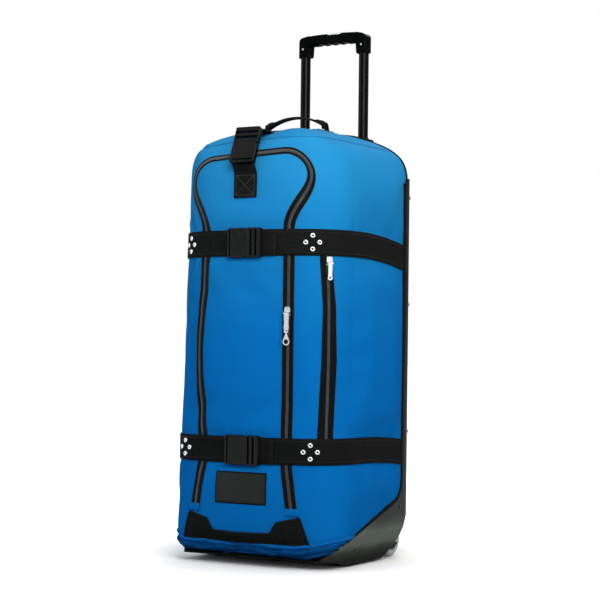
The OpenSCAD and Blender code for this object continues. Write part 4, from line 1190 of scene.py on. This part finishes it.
def grid_point(top, along, across):
    """A place on the upper side of a band, by its share of the way along and across."""
    rows, columns = top.shape[:2]
    r, c = along * (rows - 1), across * (columns - 1)
    r0, c0 = min(int(r), rows - 2), min(int(c), columns - 2)
    u, v = r - r0, c - c0
    low = top[r0, c0] * (1 - v) + top[r0, c0 + 1] * v
    high = top[r0 + 1, c0] * (1 - v) + top[r0 + 1, c0 + 1] * v
    return low * (1 - u) + high * u


def sewn_line(top, facing, *corners, steps=40):
    """A line for stitches over a band, through places given by their shares along and across."""
    points, ways = [], []
    for (a0, c0), (a1, c1) in zip(corners, corners[1:]):
        for t in np.linspace(0, 1, steps):
            along = a0 + (a1 - a0) * t
            points.append(grid_point(top, along, c0 + (c1 - c0) * t))
            ways.append(facing[min(round(along * (len(facing) - 1)), len(facing) - 1)])
    return np.array(points), np.array(ways)


STITCH_PITCH = 4 * MM
STITCH_L = 2.9 * MM
STITCH_W = 0.8 * MM
STITCH_H = 0.5 * MM


def stitches(name, lines, material=BLACK_THREAD, slot="webbing", body="bag"):
    return beads(name, lines, STITCH_PITCH, STITCH_L, STITCH_W, STITCH_H, material, slot, body)


def rows_along(top, facing, first, last, shares, steps=40):
    """Lines for stitches along a band, between two shares of its length, at some shares of its width."""
    return [sewn_line(top, facing, (first, c), (last, c), steps=steps) for c in shares]


def boxed(top, facing, first, last):
    """Lines for stitches in a box with a cross, between two shares of a band's length."""
    low, high = 0.22, 0.78
    box = [(first, low), (last, low), (last, high), (first, high), (first, low), (last, high)]
    return [sewn_line(top, facing, *box), sewn_line(top, facing, (last, low), (first, high))]


place_camera()
dress_frame()
make_panels()


# Straps
def front_distance(x):
    """Distance round from the middle of the front to a place on the front."""
    return math.copysign(BOW_R * math.asin(min(1, abs(x) / BOW_R)), x)


STRAP_TUCK = 16 * MM
STRAP_DIP = 3 * MM
STRAP_INTO = 4 * MM
FOLD_L = 28 * MM
STRAP_END = side_distance(STRAP_END_Y) + STRAP_TUCK


def strap_line(z, droop, first, last):
    rows = [outline_at(d) for d in np.linspace(first, last, 200)]
    return Line([[*p, z - strap_fall(p[1], droop)] for p, _ in rows], [[*n, 0] for _, n in rows])


def make_strap(stem, z, droop):
    """The two lengths of a strap and the fold beside the tongue. Returns the grids of the lengths' tops."""
    half = WEB_W / 2
    inner = front_distance(BUCKLE_X1 - STRAP_INTO)
    ends = {"left": (-STRAP_END, front_distance(BUCKLE_X0 + STRAP_INTO)), "right": (inner, STRAP_END)}
    tops, sewn = [], []
    for side, (first, last) in ends.items():
        line = strap_line(z, droop, first, last)
        end = line.gone if side == "left" else line.gone[-1] - line.gone
        tuck = STRAP_DIP * (1 - ease(end / STRAP_TUCK))
        made, top = strip(f"{stem}_webbing_{side}", line, -half, half, WEB_T, STRAP_LIFT, WEB, "webbing",
                          stand=-tuck)
        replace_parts(made, f"{stem}_strap_{side}")
        tops.append(top)
        sewn += rows_along(top, line.facing, 0.01, 0.99, (0.2, 0.8), 160)
    line = strap_line(z, droop, inner, front_distance(BUCKLE_X1 + FOLD_L))
    _, top = strip(f"{stem}_webbing_fold", line, -half, half, WEB_T, STRAP_LIFT + WEB_T, WEB, "webbing")
    fold = [sewn_line(top, line.facing, (a, 0.06), (a, 0.94)) for a in (0.82, 0.92)]
    stitches(f"{stem}_strap_stitches", fold + sewn)
    return tops


STRAPS = [make_strap("upper", UPPER_Z, UPPER_DROOP), make_strap("lower", LOWER_Z, LOWER_DROOP)]


def turned(profile, count=20):
    """A profile of radius and height turned about its axis; it ends on the axis."""
    points = []
    for radius, height in profile[:-1]:
        points += [(radius * math.cos(a), radius * math.sin(a), height)
                   for a in np.linspace(0, 2 * math.pi, count, endpoint=False)]
    points.append((0, 0, profile[-1][1]))
    rings = len(profile) - 1
    faces = ring_quads(rings, count)
    last = (rings - 1) * count
    faces += [(last + k, last + (k + 1) % count, rings * count) for k in range(count)]
    faces.append(tuple(reversed(range(count))))
    return np.array(points), faces


RIVET_SHAPE = np.array([(4.9, -0.6), (4.9, 0.6), (4.6, 1.3), (3.9, 1.9), (3.1, 2.2), (2.5, 2.1), (2.1, 1.7),
                        (1.9, 0.9), (0, 0.8)]) * MM
CORE_SHAPE = np.array([(2.05, 0.7), (2.0, 1.2), (1.5, 1.5), (0, 1.6)]) * MM
RIVET_A = 34
RIVET_SPREAD = 13 * MM


def rivet_places():
    """Where the rivets sit and the way they face: a diamond of four on each strap at both front corners."""
    places = []
    for z, tops in zip((UPPER_Z, LOWER_Z), STRAPS):
        for side, top in zip((-1, 1), tops):
            rows, columns = top.shape[:2]
            quads = [f for f in strip_faces(rows, columns) if max(f) < rows * columns]
            surface = BVHTree.FromPolygons(top.reshape(-1, 3).tolist(), quads)
            for turn, rise in ((-1, 0), (1, 0), (0, -1), (0, 1)):
                angle = math.radians(RIVET_A) + turn * RIVET_SPREAD / CORNER_R
                way = Vector((side * math.sin(angle), -math.cos(angle), 0))
                place = Vector((side * CORNER_X, CORNER_Y, z + rise * RIVET_SPREAD)) + way * CORNER_R
                hit, facing, _, _ = surface.ray_cast(place + way * REACH, -way, 2 * REACH)
                places.append((np.array(hit), facing if facing.dot(way) > 0 else -facing))
    return places


def set_rivets(name, profile, places, material):
    """One piece with a turned shape at each place."""
    shape, shape_faces = turned(profile)
    copies = []
    for place, facing in places:
        turn = np.array(Vector((0, 0, 1)).rotation_difference(facing).to_matrix())
        copies.append(shape @ turn.T + place)
    return piece(name, *joined(copies, shape_faces), material, "rivet_metal")


def make_rivets():
    places = rivet_places()
    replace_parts(set_rivets("strap_studs", RIVET_SHAPE, places, RIVET), "strap_rivets")
    # The dark cores paint the shade and dark reflection at the middle of the bright rivets.
    set_rivets("stud_cores", CORE_SHAPE, places, RIVET_SHADE_CORE)


make_rivets()


# Zips
ZIP_SECTION = [0.25, 1.0, 0.95, 0.5, 0.42, 0.5, 0.95, 1.0, 0.25]
SEWN_LIFT = 0.2 * MM
TAPE_T = 1.3 * MM
COIL_PITCH = 1.7 * MM
COIL_W = 6.6 * MM
COIL_L = 1.3 * MM
COIL_H = 1.2 * MM
# The main zip is narrower by some share from a height up: both halves, and the left one more
NARROW_SHARE = 0.4
NARROW_UP = (700 * MM, 80 * MM)
LEFT_NARROW_SHARE = 0.2
LEFT_NARROW_UP = (640 * MM, 40 * MM)
TAB_HALF_W = 13 * MM
TAB_HALF_H = 7 * MM
TAB_RISE = 6 * MM
TAB_T = 1.2 * MM
TAB_LIFT = 1.8 * MM


def make_zip(stem, line, low, high, node, shift=0.0):
    """A tape with rolled lips, a coil between them and a row of stitches along each lip."""
    made, top = strip(f"{stem}_tape", line, low, high, TAPE_T, SEWN_LIFT, TAPE, "zip_tape",
                      profile=ZIP_SECTION)
    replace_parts(made, node)
    middle = top[:, 4] + line.across * np.broadcast_to(shift, len(top))[:, None]
    beads(f"{stem}_coil", [(middle, line.facing)], COIL_PITCH, COIL_W, COIL_L, COIL_H, COIL, "zip_tape",
          crosswise=True)
    stitches(f"{stem}_stitches", [(top[:, k], line.facing) for k in (1, 7)], slot="zip_tape")


def make_main_zip():
    """The main zip, narrower round its top, and the cloth tabs over its two ends."""
    sunk = [(x, z - float(sag(x, -FRONT_D, z))) for x, z in ZIP_LINE]
    line = line_front(sunk)
    x, z = line.points[:, 0], line.points[:, 2]
    half = ZIP_W / 2 * (1 - NARROW_SHARE * ease(z, *NARROW_UP))
    half = half * (1 - LEFT_NARROW_SHARE * (x < 0) * ease(z, *LEFT_NARROW_UP))
    make_zip("main_zip", line, -half, half, "main_zip")
    for side, (x, z) in (("left", ZIP_LINE[-1]), ("right", ZIP_LINE[0])):
        line = line_front([(x - TAB_HALF_W, z + TAB_RISE), (x + TAB_HALF_W, z + TAB_RISE)])
        _, top = strip(f"zip_tab_{side}", line, -TAB_HALF_H, TAB_HALF_H, TAB_T, TAB_LIFT, CLOTH, "blue_cloth",
                       columns=7)
        sewn = rows_along(top, line.facing, 0.08, 0.92, (0.2, 0.8))
        stitches(f"zip_tab_stitches_{side}", sewn, BLUE_THREAD, "blue_cloth")


make_main_zip()


SIDE_ZIP_HEIGHTS = np.array([263, 397, 502, 595]) * MM
SIDE_ZIP_NEAR = [41, 45, 46, 42]
SIDE_ZIP_FAR = [60, 64, 62, 56]


def make_side_zip():
    """The pocket zip, bowed where the side bulges: its edges are directions round the corner by height."""
    angle = math.radians(SIDE_ZIP_A)
    way = [math.sin(angle), -math.cos(angle), 0]
    points = [[CORNER_X + CORNER_R * way[0], CORNER_Y + CORNER_R * way[1], z]
              for z in np.linspace(LOWER_Z + WEB_W / 2, UPPER_Z - WEB_W / 2, 40)]
    line = Line(points, np.tile(way, (40, 1)))
    z = line.points[:, 2]
    near = np.interp(z, SIDE_ZIP_HEIGHTS, SIDE_ZIP_NEAR)
    far = np.interp(z, SIDE_ZIP_HEIGHTS, SIDE_ZIP_FAR)
    low = -np.radians(far - SIDE_ZIP_A) * CORNER_R
    high = -np.radians(near - SIDE_ZIP_A) * CORNER_R
    toward_line = -(low + high) / 2 * 0.5
    make_zip("side_zip", line, low, high, "side_zip", toward_line)


make_side_zip()


# Label and foot handle
LABEL_RIM = 2.4 * MM
LABEL_BINDING_T = 1 * MM
LABEL_T = 0.8 * MM
LABEL_COLUMNS = 13


def make_label():
    """A plain patch in a bound edge."""
    low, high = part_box("label_patch")
    z = (low.z + high.z) / 2
    half = (high.z - low.z) / 2
    inset = LABEL_RIM
    rim = strap_line(z, 0, front_distance(low.x), front_distance(high.x))
    line = strap_line(z, 0, front_distance(low.x + inset), front_distance(high.x - inset))
    strip("label_binding", rim, -half, half, LABEL_BINDING_T, SEWN_LIFT, TAPE, "zip_tape",
          columns=LABEL_COLUMNS)
    made, top = strip("label_cloth", line, inset - half, half - inset, LABEL_T, LABEL_BINDING_T, LABEL_CLOTH,
                      "label_cloth", columns=LABEL_COLUMNS)
    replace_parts(made, "label_patch")
    edge = [(0.04, 0.09), (0.96, 0.09), (0.96, 0.91), (0.04, 0.91), (0.04, 0.09)]
    stitches("label_stitches", [sewn_line(top, line.facing, *edge)], slot="label_cloth")


make_label()


# Foot handle: its upper edge by distance from the middle, how far it stands off the cloth and how far out
WING_PLACES = np.array([64, 78, 126, 143]) * MM
WING_HEIGHTS = np.array([69, 91, 102, 50]) * MM
FOOT_STAND = 4 * MM
FOOT_LOOSE = 66 * MM
FOOT_LINE_UP = 14 * MM
FOOT_INSET = 3 * MM
FOOT_T = 2.6 * MM
FOOT_LIFT = 0.4 * MM


def make_foot_handle():
    """A band along the base seam that stands off the cloth in the middle, with a sewn wing at each end."""
    low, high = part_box("foot_handle")
    z = low.z + FOOT_LINE_UP
    line = strap_line(z, 0, front_distance(low.x + FOOT_INSET), front_distance(high.x - FOOT_INSET))
    x = np.abs(line.points[:, 0])
    top = np.interp(x, WING_PLACES, WING_HEIGHTS) - z
    bottom = np.full(len(x), low.z - z)
    stand = FOOT_STAND * (1 - ease(x / FOOT_LOOSE))
    made, upper = strip("foot_webbing", line, bottom, top, FOOT_T, FOOT_LIFT, WEB, "webbing", stand=stand)
    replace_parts(made, "foot_handle")
    stitches("foot_stitches", rows_along(upper, line.facing, 0.02, 0.98, (0.14, 0.86), 120))


make_foot_handle()


# Top strap: a sewn end on the front, then up to the buckle and on over the top
TOP_BUCKLE_A = math.radians(21)
TOP_BUCKLE_R = BROW_R + 2.6 * MM
TOP_BUCKLE_OUT = 1 * MM


def on_buckle_back(l):
    """A place on the top buckle's back in the side view, l along it from where it touches the brow."""
    return (BROW_Y - TOP_BUCKLE_OUT - TOP_BUCKLE_R * math.cos(TOP_BUCKLE_A) + l * math.sin(TOP_BUCKLE_A),
            BROW_Z + TOP_BUCKLE_OUT + TOP_BUCKLE_R * math.sin(TOP_BUCKLE_A) + l * math.cos(TOP_BUCKLE_A))


def side_facing(points):
    """The outward direction of a line in the side view that climbs the front and goes back over the top."""
    along = unit(np.gradient(np.asarray(points), axis=0))
    return np.stack([np.zeros(len(points)), -along[:, 2], along[:, 1]], 1)


TOP_BUCKLE_HALF = 37 * MM
TOP_STRAP_LIFT = 0.4 * MM
SEWN_END_L = 48 * MM
SEWN_END_T = 1.4 * MM
CROWN_START_Y = -126 * MM


def make_top_strap():
    """The sewn length on the front and the length over the top, each running straight to a buckle bar."""
    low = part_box("top_strap_front")[0].z
    sewn = [touch((0, -FRONT_D, z), (0, -1, 0))[0] - np.array([0, TOP_STRAP_LIFT, 0])
            for z in np.linspace(low, low + SEWN_END_L, 14)]
    front = sewn + [(0, *on_buckle_back(-TOP_BUCKLE_HALF))]
    front = smooth_rows(evenly(np.array(front), LINE_STEP), 3)
    made, _, _ = ribbon("top_strap_webbing", front, side_facing(front), WEB_W, WEB_T, WEB, "webbing")
    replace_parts(made, "top_strap_front")
    patch = np.array(sewn) - np.array([0, WEB_T, 0])
    _, top, facing = ribbon("top_strap_end", patch, side_facing(patch), WEB_W, SEWN_END_T, WEB, "webbing")
    stitches("top_strap_stitches", boxed(top, facing, 0.1, 0.9), BOX_THREAD)
    crown = [touch((0, y, CREST_Z), (0, 0, 1))[0] + np.array([0, 0, TOP_STRAP_LIFT])
             for y in np.linspace(CROWN_START_Y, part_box("top_strap_back")[1].y, 30)]
    back = [(0, *on_buckle_back(TOP_BUCKLE_HALF))] + crown
    back = smooth_rows(evenly(np.array(back), LINE_STEP), 3)
    made, top, facing = ribbon("top_strap_tail", back, side_facing(back), WEB_W, WEB_T, WEB, "webbing")
    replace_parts(made, "top_strap_back")
    stitches("tail_stitches", boxed(top, facing, 0.72, 0.96))


make_top_strap()


# Top handle: webbing between two sewn roots on its pins
LIFT_SPAN = 66 * MM
LIFT_RISE = 19 * MM
LIFT_T = 3.6 * MM
LIFT_ROOT_T = 4.6 * MM
LIFT_ROOT = (12 * MM, 14 * MM)
PIN_UP = 4.6 * MM
BARREL = np.array([(4.4, -4), (5, -3.4), (5, 3.4), (4.4, 4), (0, 4)]) * MM


def lift_thickness(gone, length):
    """The webbing of the top handle is thicker at its two roots."""
    end = np.minimum(gone, length - gone)
    return LIFT_T + LIFT_ROOT_T * (1 - ease(end, *LIFT_ROOT))


def make_top_handle():
    low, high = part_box("top_handle")
    pin_z = low.z + PIN_UP
    radius = (LIFT_RISE ** 2 + LIFT_SPAN ** 2) / (2 * LIFT_RISE)
    reach = math.asin(LIFT_SPAN / radius)
    turns = np.linspace(-reach, reach, 60)
    facing = np.stack([np.sin(turns), 0 * turns, np.cos(turns)], 1)
    points = facing * radius + np.array([0, 0, pin_z + LIFT_RISE - radius])
    made, top, ways = ribbon("lift_webbing", points, facing, high.y - low.y, lift_thickness, WEB,
                             "handle_rubber", "top_handle")
    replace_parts(made, "top_handle")
    stitches("lift_stitches", rows_along(top, ways, 0.02, 0.98, (0.22, 0.78), 80), slot="handle_rubber",
             body="top_handle")
    barrel, barrel_faces = turned(BARREL, 24)
    copies = [barrel[:, [2, 0, 1]] + np.array([side * LIFT_SPAN, 0, pin_z]) for side in (-1, 1)]
    piece("lift_roots", *joined(copies, barrel_faces), WEB, "handle_rubber", "top_handle")


make_top_handle()


# Bindings: along the tray's edge, along the rear of the top, and the lapped seam across the brow
TRAY_BINDING_STEP = 6 * MM
TRAY_BINDING_SHORT = 12 * MM


def tray_edge_line(side):
    """A line on the cloth along the edge of the tray's flange on one side."""
    upright = np.linspace(SWEEP_Z + TRAY_BINDING_STEP, TRAY_TOP_Z - TRAY_BINDING_SHORT, 40)
    rows = list(TRAY_EDGE) + [(TRAY_EDGE[-1, 0], z) for z in upright]
    points, ways = [], []
    for y, z in evenly(rows, TRAY_BINDING_STEP):
        angle = math.acos(np.clip((CORNER_Y - y) / CORNER_R, 0, 1))
        points.append([side * (CORNER_X + CORNER_R * math.sin(angle)), y, z])
        ways.append([side * math.sin(angle), -math.cos(angle), 0])
    return Line(points, ways)


REAR_LINE_Y = 149 * MM
REAR_LINE_START_A = 74
REAR_LINE_TUCK = 18 * MM
REAR_BINDING_T = 2.6 * MM
REAR_BINDING_HALF = 6 * MM
TRAY_BINDING_T = 2.2 * MM
TRAY_BINDING_W = 4 * MM
BROW_LAP_W = 8 * MM
BROW_LAP_T = 0.5 * MM
# The tray's binding is wider round this height, where its edge turns up
WIDER_Z = 105 * MM
WIDER_H = 40 * MM


def rear_line(side):
    """A line along the rear of the top on one side, over the shoulder and down behind the tray's flange."""
    rows = [(ARCH_R * math.cos(a), ARCH_Z + ARCH_R * math.sin(a), a)
            for a in np.radians(np.linspace(REAR_LINE_START_A, SHOULDER_A, 40))]
    rows += [(SHOULDER_X + SHOULDER_R * math.cos(a), SHOULDER_Z + SHOULDER_R * math.sin(a), a)
             for a in np.radians(np.linspace(SHOULDER_A, 0, 30))[1:]]
    rows += [(HALF_W, z, 0) for z in np.linspace(SHOULDER_Z, TRAY_TOP_Z - REAR_LINE_TUCK, 12)[1:]]
    return Line([(side * x, REAR_LINE_Y, z) for x, z, _ in rows],
                [(side * math.cos(a), 0, math.sin(a)) for _, _, a in rows])


def make_bindings():
    for side, name in ((-1, "left"), (1, "right")):
        line = tray_edge_line(side)
        width = TRAY_BINDING_W + TRAY_BINDING_W * bell(line.points[:, 2] - WIDER_Z, WIDER_H)
        low, high = (-TRAY_BINDING_W, width) if side > 0 else (-width, TRAY_BINDING_W)
        strip(f"tray_binding_{name}", line, low, high, TRAY_BINDING_T, SEWN_LIFT, TAPE, "zip_tape", columns=7)
        strip(f"rear_binding_{name}", rear_line(side), -REAR_BINDING_HALF, REAR_BINDING_HALF, REAR_BINDING_T,
              SEWN_LIFT, TAPE, "zip_tape", columns=7)
    line = Line(BROW_SEAM, BROW_WAYS)
    _, top = strip("brow_lap", line, 0, BROW_LAP_W, BROW_LAP_T, 0.0, CLOTH, "blue_cloth", columns=6)
    sewn = rows_along(top, line.facing, 0.01, 0.99, (0.1,), 120)
    # The brow seam's dark stitches are its thread and also paint the shade line along its crease.
    stitches("brow_stitches", sewn, BROW_SHADE_THREAD, "blue_cloth")


make_bindings()


# Section of a roll of cloth, by shares of its height
ROLL = [0.05, 0.5, 0.8, 0.95, 1, 0.95, 0.8, 0.5, 0.05]
WELT_T = 3.4 * MM
WELT_HALF = 4.5 * MM
WELT_DROP = 2 * MM
WELT_CLIMB = 16 * MM
WELT_END_Y = -66 * MM
WELT_STITCH = 3 * MM
WELT_WAVES = [(1.2 * MM, 19 * MM, 0), (0.7 * MM, 7 * MM, 1)]
WELT_PUCKER = [(0.7 * MM, 5.3 * MM, 0), (0.7 * MM, 8.9 * MM, 1)]
GUSSET_FOLD_T = 3.6 * MM
GUSSET_FOLD_SINK = 0.6 * MM
# Half a fold's width at its tips, what is added from a taper further in, and how it wavers
GUSSET_TIP = 1.5 * MM
GUSSET_SWELL = 4 * MM
GUSSET_TAPER = 60 * MM
GUSSET_WAVER = [(0.15, 12 * MM, 0)]
GUSSET_PUCKER = [(0.6 * MM, 6.1 * MM, 0), (0.8 * MM, 10.7 * MM, 2)]
# Folds of the gusset: name, drop below the seam, climb at the corners, waves (height, length, start), ends
GUSSET_FOLDS = [
    ("near", 13 * MM, 14 * MM, [(2.2 * MM, 27 * MM, 2), (1.2 * MM, 11 * MM, 0)],
     -side_distance(-108 * MM), side_distance(-106 * MM)),
    ("low", 19 * MM, 12 * MM, [(2 * MM, 33 * MM, 0.5), (1.3 * MM, 14 * MM, 2)],
     -60 * MM, side_distance(-130 * MM))]


CORNER_CLIMB = (120 * MM, 100 * MM)


def base_line(drop, climb, wander, first, last):
    """A line under the front that wanders up and down and climbs at the corners."""
    points, ways = [], []
    for d in np.linspace(first, last, 200):
        place, way = outline_at(d)
        at_corner = ease(abs(d), *CORNER_CLIMB)
        points.append([*place, BASE_SEAM_Z - drop + climb * at_corner + waves(d, wander)])
        ways.append([*way, 0])
    return Line(points, ways)


def make_base_folds():
    """The piped seam over the gusset, and the slack cloth that rolls over below it."""
    end = side_distance(WELT_END_Y)
    line = base_line(WELT_DROP, WELT_CLIMB, WELT_WAVES, -end, end)
    _, top = strip("base_welt", line, -WELT_HALF, WELT_HALF, WELT_T, SEWN_LIFT, WELT, "blue_cloth",
                   stand=waves(line.gone, WELT_PUCKER), profile=ROLL)
    sewn = [(top[:, -1] + line.across * WELT_STITCH, line.facing)]
    stitches("base_stitches", sewn, BLUE_THREAD, "blue_cloth")
    for name, *course in GUSSET_FOLDS:
        line = base_line(*course)
        ends = np.minimum(line.gone, line.gone[-1] - line.gone)
        half = GUSSET_TIP + GUSSET_SWELL * ease(ends / GUSSET_TAPER)
        half = half * (1 + waves(line.gone, GUSSET_WAVER))
        # The gusset's folds take the cloth whose dark navy is painted shade.
        strip(f"gusset_fold_{name}", line, -half, half, GUSSET_FOLD_T, -GUSSET_FOLD_SINK, SHADED_BASE_CLOTH,
              "blue_cloth", stand=waves(line.gone, GUSSET_PUCKER), profile=ROLL)


make_base_folds()


# Stage and light
def lamp(name, place, target, size, power, spread, colour):
    data = bpy.data.lights.new(name, "AREA")
    data.shape = "RECTANGLE"
    data.size, data.size_y = size
    data.energy = power
    data.color = colour
    data.spread = math.radians(spread)
    made = add(name, data)
    made.location = place
    made.rotation_euler = (Vector(target) - Vector(place)).to_track_quat("-Z", "Y").to_euler()


FLOOR_HALF = 40
# Floor tone and world strength: first in the light they give, then as they are seen
FLOOR_TONES = (0.3, 0.97)
WORLD_STRENGTHS = (0.38, 1.0)
# The floor's glow: distance from the object where it starts, where it is full, and how strong it is then
GLOW_FROM = 0.18
GLOW_TO = 0.7
GLOW = 0.95
# Lamps: name, place, target, size, power in watts, spread in degrees, colour
LAMPS = [("key", (1.1, -1.4, 1.5), (0, 0, 1.0), (0.9, 0.9), 9, 80, (1, 0.98, 0.92)),
         ("over", (0.3, -0.3, 2.3), (0, 0, 0), (1.4, 1.4), 12, 180, (1, 1, 1)),
         ("fill", (-2.5, -1.7, 1.0), (0, 0, 0.5), (1.6, 1.6), 34, 180, (0.82, 0.88, 1)),
         ("side", (2.3, -1.2, 0.9), (0, 0, 0.7), (0.35, 1.6), 28, 180, (1, 1, 1)),
         ("back", (-0.4, 2.2, 2.4), (0, 0, 0.2), (2.0, 1.4), 31, 180, (1, 1, 1))]


def make_floor():
    """A pale floor that is seen white away from the object, without giving more light."""
    mesh = bpy.data.meshes.new("floor")
    corners = [(x * FLOOR_HALF, y * FLOOR_HALF, 0) for x, y in ((-1, -1), (1, -1), (1, 1), (-1, 1))]
    mesh.from_pydata(corners, [], [(0, 1, 2, 3)])
    floor = add("floor", mesh)
    paint = Finish("floor", "f0f0f0", 0.9, Specular_IOR_Level=0.0)
    seen = paint.seen_directly()
    paint.colour(paint.mapped(seen, (0, 1), FLOOR_TONES))
    paint.shader.inputs["Emission Color"].default_value = (1, 1, 1, 1)
    away = paint.node("ShaderNodeVectorMath", {0: paint.place()}, operation="LENGTH").outputs["Value"]
    glow = paint.mapped(away, (GLOW_FROM, GLOW_TO), (0, GLOW), interpolation_type="SMOOTHSTEP")
    shown = paint.math("MULTIPLY", glow, seen)
    paint.tree.links.new(shown, paint.shader.inputs["Emission Strength"])
    mesh.materials.append(paint.material)


def make_world():
    world = bpy.data.worlds.new("studio")
    bpy.context.scene.world = world
    world.use_nodes = True
    nodes = Nodes(world.node_tree)
    sky = nodes.tree.nodes["Background"].inputs
    sky["Color"].default_value = (1, 1, 1, 1)
    strength = nodes.mapped(nodes.seen_directly(), (0, 1), WORLD_STRENGTHS)
    nodes.tree.links.new(strength, sky["Strength"])


make_floor()
make_world()
for row in LAMPS:
    lamp(*row)
bpy.context.scene.view_settings.view_transform = "Standard"
bpy.context.view_layer.update()
